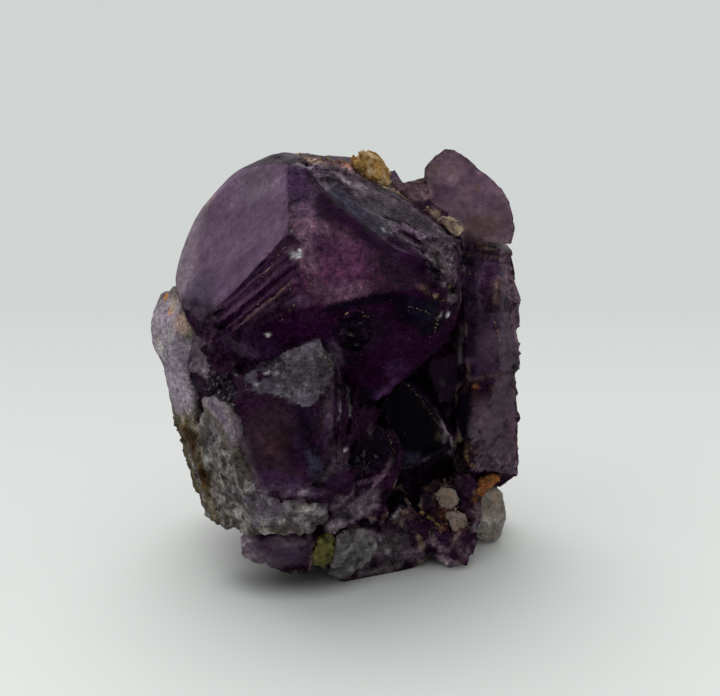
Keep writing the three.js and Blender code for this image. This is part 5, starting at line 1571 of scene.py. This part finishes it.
grainSettings = [
    {
        **plainGrain, "node": "ironstone_lump", "piece": "ironstoneLump", "slot": "ironstone",
        "voxel": 0.18, "soften": 2, "chips": (1.5, 0.42), "lumps": (0.7, 0.16),
        "finishes": ("ochre", "cream", "umber"), "cloudSize": 1.3, "seed": 401,
        "spots": [("umber", (8.2, -1.2, 68.8), (2.2, 2.6, 3.2), 1, 0.4),
                  ("umber", (5.4, -1.4, 67.6), (3.2, 2, 1.3), 0.9, 0.4),
                  ("cream", (5.6, -0.9, 71), (2.2, 1.6, 1.4), 0.6, 0.4),
                  ("ochre", (3.6, 1, 71), (2, 3, 2), 0.7, 0.4)],
        "look": grainLook(1.6, 0.5, 0.2, glintShare=0.2, specular=0.25),
    },
    {
        **plainGrain, "node": "limonite_patch", "piece": "limonitePatch", "slot": "limonite",
        "voxel": 0.16, "swell": 0.1, "chips": (0.9, 0.3), "lumps": (0.6, 0.22),
        "finishes": ("orange", "ochre", "rust"), "cloudSize": 0.9, "seed": 421,
        "look": grainLook(1.2, 0.4, 0.2, glintShare=0.15, specular=0.25),
    },
    {
        **plainGrain, "node": "calcite_grain_upper", "piece": "calciteGrainUpper",
        "chips": (1.1, 0.3), "lumps": (0.55, 0.2),
        "finishes": ("rose", "shell", "fawn"), "cloudSize": 1.1, "seed": 441,
        "spots": [("rust", (20.6, -6.6, 12.6), (1.4, 2, 1.2), 0.7, 0.4)],
        "look": grainLook(1.4, 0.45, 0.14, (0.9, 0.72, 0.62), 220, ior=1.56),
    },
    {
        **plainGrain, "node": "calcite_grain_lower", "piece": "calciteGrainLower",
        "chips": (1.0, 0.3), "lumps": (0.5, 0.22),
        "finishes": ("rose", "shell", "rust"), "cloudSize": 1.0, "seed": 461,
        "spots": [("rust", (20, -8, 9.6), (1.2, 2, 1.0), 0.6, 0.4)],
        "look": grainLook(1.4, 0.45, 0.14, (0.9, 0.72, 0.62), 220, ior=1.56),
    },
    {
        **plainGrain, "node": "calcite_foot", "piece": "calciteFoot",
        "voxel": 0.18, "swell": 0.2, "chips": (1.6, 0.42), "lumps": (0.8, 0.3),
        "finishes": ("ashen", "chalk", "grey"), "cloudSize": 1.5, "seed": 481,
        "spots": [("chalk", (0.6, -19.6, 6.6), (1.8, 2, 3.4), 0.9, 0.4),
                  ("grey", (4.6, -17.6, 7.6), (2.4, 3, 2.6), 0.7, 0.4),
                  ("moss", (-0.6, -19.4, 9.2), (1.4, 2, 1.6), 0.6, 0.4)],
        "look": grainLook(1.8, 0.5, 0.18, (0.8, 0.76, 0.8), 160, ior=1.56, fine=0.22),
    },
    {
        **plainGrain, "node": "green_grain", "piece": "greenGrain", "slot": "green_mineral",
        "swell": 0.2, "chips": (1.1, 0.35), "lumps": (0.6, 0.22),
        "finishes": ("moss", "lime", "bottle"), "cloudSize": 1.1, "seed": 501,
        "spots": [("lime", (-2.4, -20.3, 6), (1.0, 1.2, 1.6), 0.6, 0.4),
                  ("bottle", (-2.2, -20, 10), (1.4, 1.4, 1.2), 0.6, 0.4)],
        "look": grainLook(1.3, 0.45, 0.15, (0.75, 0.75, 0.3), 220, ior=1.58),
    },
    {
        **plainGrain, "node": "rim_bead", "piece": "rimBead", "slot": "quartz",
        "voxel": 0.13, "soften": 6, "swell": 0.15, "chips": (0.9, 0.25), "lumps": (0.5, 0.12),
        "finishes": ("fawn", "cream", "grey"), "cloudSize": 1.0, "seed": 521,
        "spots": [("cream", (20.4, -3.8, 60.4), (1.2, 1.4, 1.4), 0.8, 0.4)],
        "look": grainLook(1.2, 0.4, 0.12, (0.85, 0.75, 0.65), 200, ior=1.54),
    },
    {
        **plainGrain, "node": "quartz_bleb", "piece": "quartzBleb", "slot": "quartz",
        "voxel": 0.2, "soften": 10, "swell": 0.3, "chips": (2.2, 0.14), "lumps": (1.5, 0.25),
        "finishes": ("water", "shell", "fawn"), "cloudSize": 2.2, "seed": 541,
        "spots": [("fawn", (27.4, -3.4, 8), (2.2, 2, 3), 0.85, 0.4),
                  ("rust", (26.6, -3.6, 8), (1.4, 1.4, 3), 0.5, 0.4),
                  ("peach", (28.8, -2.6, 8.6), (2.6, 2.4, 3), 0.85, 0.4),
                  ("shell", (28.2, -2.4, 2), (2.6, 3, 2.2), 0.8, 0.4)],
        "look": grainLook(2.4, 0.9, 0.1, (0.92, 0.84, 0.78), 130,
                          ior=1.54, fine=0.35, glintShare=0.25, specular=0.5),
    },
]


def makeGrain(settings):
    mesh, points, field = stoneSkin(settings)
    outward = normals(mesh)
    seed = settings["seed"]
    chipSize, chipTilt = settings["chips"]
    lumpSize, lumpHeight = settings["lumps"]
    lift = settings["swell"] + chipped(points, chipSize, seed, chipTilt)
    lift += lumpHeight * roughNoise(points, lumpSize, seed + 2, 2)
    main, high, low = settings["finishes"]
    finish = painted(points, field, grainFinishes, main, settings["spots"])
    patch = 2.4 * roughNoise(points, settings["cloudSize"], seed + 5, 3)
    laid(finish, grainFinishes[high], np.clip(patch, 0, 0.85))
    laid(finish, grainFinishes[low], np.clip(-patch - 0.3, 0, 0.85))
    return finishedStone(mesh, points + outward * lift[:, None], finish, settings)


for settings in grainSettings:
    makeGrain(settings)


# What has grown on the surfaces: dark sparkling cubes, sugary quartz, brown crumbs, golden seams
def grownPiece(settings, mesh):
    look = stoneMaterial(settings["piece"] + "Stone", settings["look"])
    sizes = settings["sizes"]
    tree = grainTree(settings["piece"] + "Growth", sizes, settings["shape"], look, settings.get("mask"))
    grown, below = grownGrains(mesh, tree, sizes)
    points = meshArrays(grown)[0]
    if settings["shape"] != "cube":  # each grain a little irregular
        points = points + 0.10 * np.stack([smoothNoise(points, 0.3, seed) for seed in (31, 32, 33)], axis=1)
    lifted(grown, points)
    first, second = (np.array(value) for value in settings["finishes"])
    share = np.clip(0.5 + 1.2 * smoothNoise(points, settings["patch"], 35), 0, 1)[:, None]
    finish = first + (second - first) * share
    if below is not None:
        finish = finish + (below - finish) * settings["keeps"]
    setFinish(grown, finish)
    piece = added(settings["piece"], grown)
    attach(piece, "root")
    print(settings["piece"], "grown,", len(grown.polygons), "faces")


# the sizes go to the tree's inputs, which are in metres; keeps is how much of the skin's finish a grain keeps
druseSettings = {
    "piece": "druseCubes", "slot": "fluorite", "shape": "cube", "mask": "druse", "keeps": 0.3,
    "sizes": {"Grains Per Metre Squared": 3.2e6, "Smallest": 0.00025, "Largest": 0.0008, "Spread": 0.00012},
    "finishes": [(0.012, 0.006, 0.016, 0.12, 0.3), (0.07, 0.05, 0.08, 0.15, 0.4)], "patch": 0.6,
    "look": {**plainLook, "ior": 1.434, "glintShare": 0.2, "bump": 0.03},
}

sugarSettings = {
    "piece": "sugarQuartz", "slot": "quartz", "shape": "round", "mask": "sugar", "keeps": 0.85,
    "sizes": {"Grains Per Metre Squared": 2.6e6, "Smallest": 0.0002, "Largest": 0.00055, "Spread": 0.00005},
    "finishes": [(0.20, 0.185, 0.165, 0.3, 0.55), (0.50, 0.47, 0.48, 0.3, 0.45)], "patch": 1.6,
    "look": {**plainLook, "ior": 1.544, "glintShare": 0.3, "bump": 0.05,
             "absorption": (0.8, 0.74, 0.7), "density": 150},
}

crumbSettings = {
    "piece": "brownCrumbs", "slot": "limonite", "shape": "round", "mask": "crumb", "keeps": 0.15,
    "sizes": {"Grains Per Metre Squared": 1.3e6, "Smallest": 0.00025, "Largest": 0.00075, "Spread": 0.0001},
    "finishes": [(0.26, 0.13, 0.05, 0.7, 0.0), (0.56, 0.40, 0.26, 0.7, 0.0)], "patch": 1.4,
    "look": {**plainLook, "glintShare": 0.2, "bump": 0.1, "specular": 0.25},
}

seamSettings = {
    "piece": "goldenSeams", "slot": "limonite", "shape": "round",
    "sizes": {"Spacing": 0.00026, "Smallest": 0.00004, "Largest": 0.00024, "Spread": 0.00018},
    "finishes": [(0.34, 0.20, 0.08, 0.5, 0.0), (0.62, 0.46, 0.24, 0.45, 0.1)], "patch": 0.7,
    "look": {**plainLook, "glintShare": 0.5, "bump": 0.04, "specular": 0.4},
}

# each seam is laid on the crystals along these corners
seamPaths = [
    [(-8, -17.2, 60.4), (-9.8, -17.4, 58.2), (-11.8, -17.3, 55.8)],
    [(-4.3, -19.4, 56.1), (-7.8, -19.4, 53.6), (-10.4, -19.2, 51.8), (-12.7, -18.5, 50.9)],
    [(-3.4, -19.9, 55.6), (-5.6, -20.2, 53), (-7.4, -20.4, 50.6), (-9, -20.2, 48.8)],
    [(0.6, -20, 48.9), (1.6, -20.2, 50.4), (3.2, -19.6, 50.4), (5.1, -18.9, 49.4)],
    [(11.4, -17, 50.3), (13.2, -15.7, 49.4), (15.2, -13.8, 48.2), (16.6, -12.6, 47.6)],
    [(16.8, -12.4, 46.6), (16.7, -12, 44.8), (15.6, -12, 43)],
    [(12.8, -6.2, 33.4), (13.9, -5.9, 31.2), (15.7, -5.2, 28.2), (17.2, -4.8, 25.8), (18.4, -4.3, 24.2)],
    [(8.4, -11.7, 25.8), (9.3, -12, 24.4), (9.5, -12.5, 22.2)],
    [(22, -0.5, 51.9), (24.2, -0.2, 51), (26.6, 0.1, 49.8), (28.7, 0.5, 49.1)],
    [(27, -0.2, 43.8), (27.8, -0.2, 41.8), (28.6, -0.2, 39.2), (28.6, -0.2, 37)],
    [(13, -11.8, 11.8), (14.2, -11.6, 10.8), (15.5, -11.4, 9.9)],
    [(13.8, -12.7, 9.9), (16.2, -11.8, 8.4), (18.4, -10.8, 6.6)],
    [(-2.8, -19.4, 42.9), (-1.2, -20, 42.2), (0, -20.4, 40.6)],
    [(14.2, -15.9, 52.5), (15.8, -14.4, 51.4), (17.2, -12.6, 50.4)],
    [(10, 3.6, 66.8), (13.6, 4.2, 66.6), (16.4, 4.6, 67.8)],
    [(8.6, -0.8, 66.9), (12.4, 0.4, 64.8), (16.4, 1.4, 62.2)],
]


seamStep = 0.4  # between two places of a seam


def seamMesh(skin, paths):  # the paths as lines lying on the skin
    tree = skinTree(skin)
    places, lines = [], []
    for corners in paths:
        for start, end in zip(corners[:-1], corners[1:]):
            start, end = Vector(start), Vector(end)
            count = max(2, int((end - start).length / seamStep))
            run = [tree.find_nearest(start + (end - start) * k / count)[0] for k in range(count + 1)]
            lines += [(len(places) + k, len(places) + k + 1) for k in range(count)]
            places += [tuple(place * mm) for place in run]
    mesh = bpy.data.meshes.new("seamLines")
    mesh.from_pydata(places, lines, [])
    return mesh


grownPiece(druseSettings, fluorite.data)
grownPiece(crumbSettings, fluorite.data)
grownPiece(sugarSettings, crust.data)
grownPiece(seamSettings, seamMesh(fluorite.data, seamPaths))
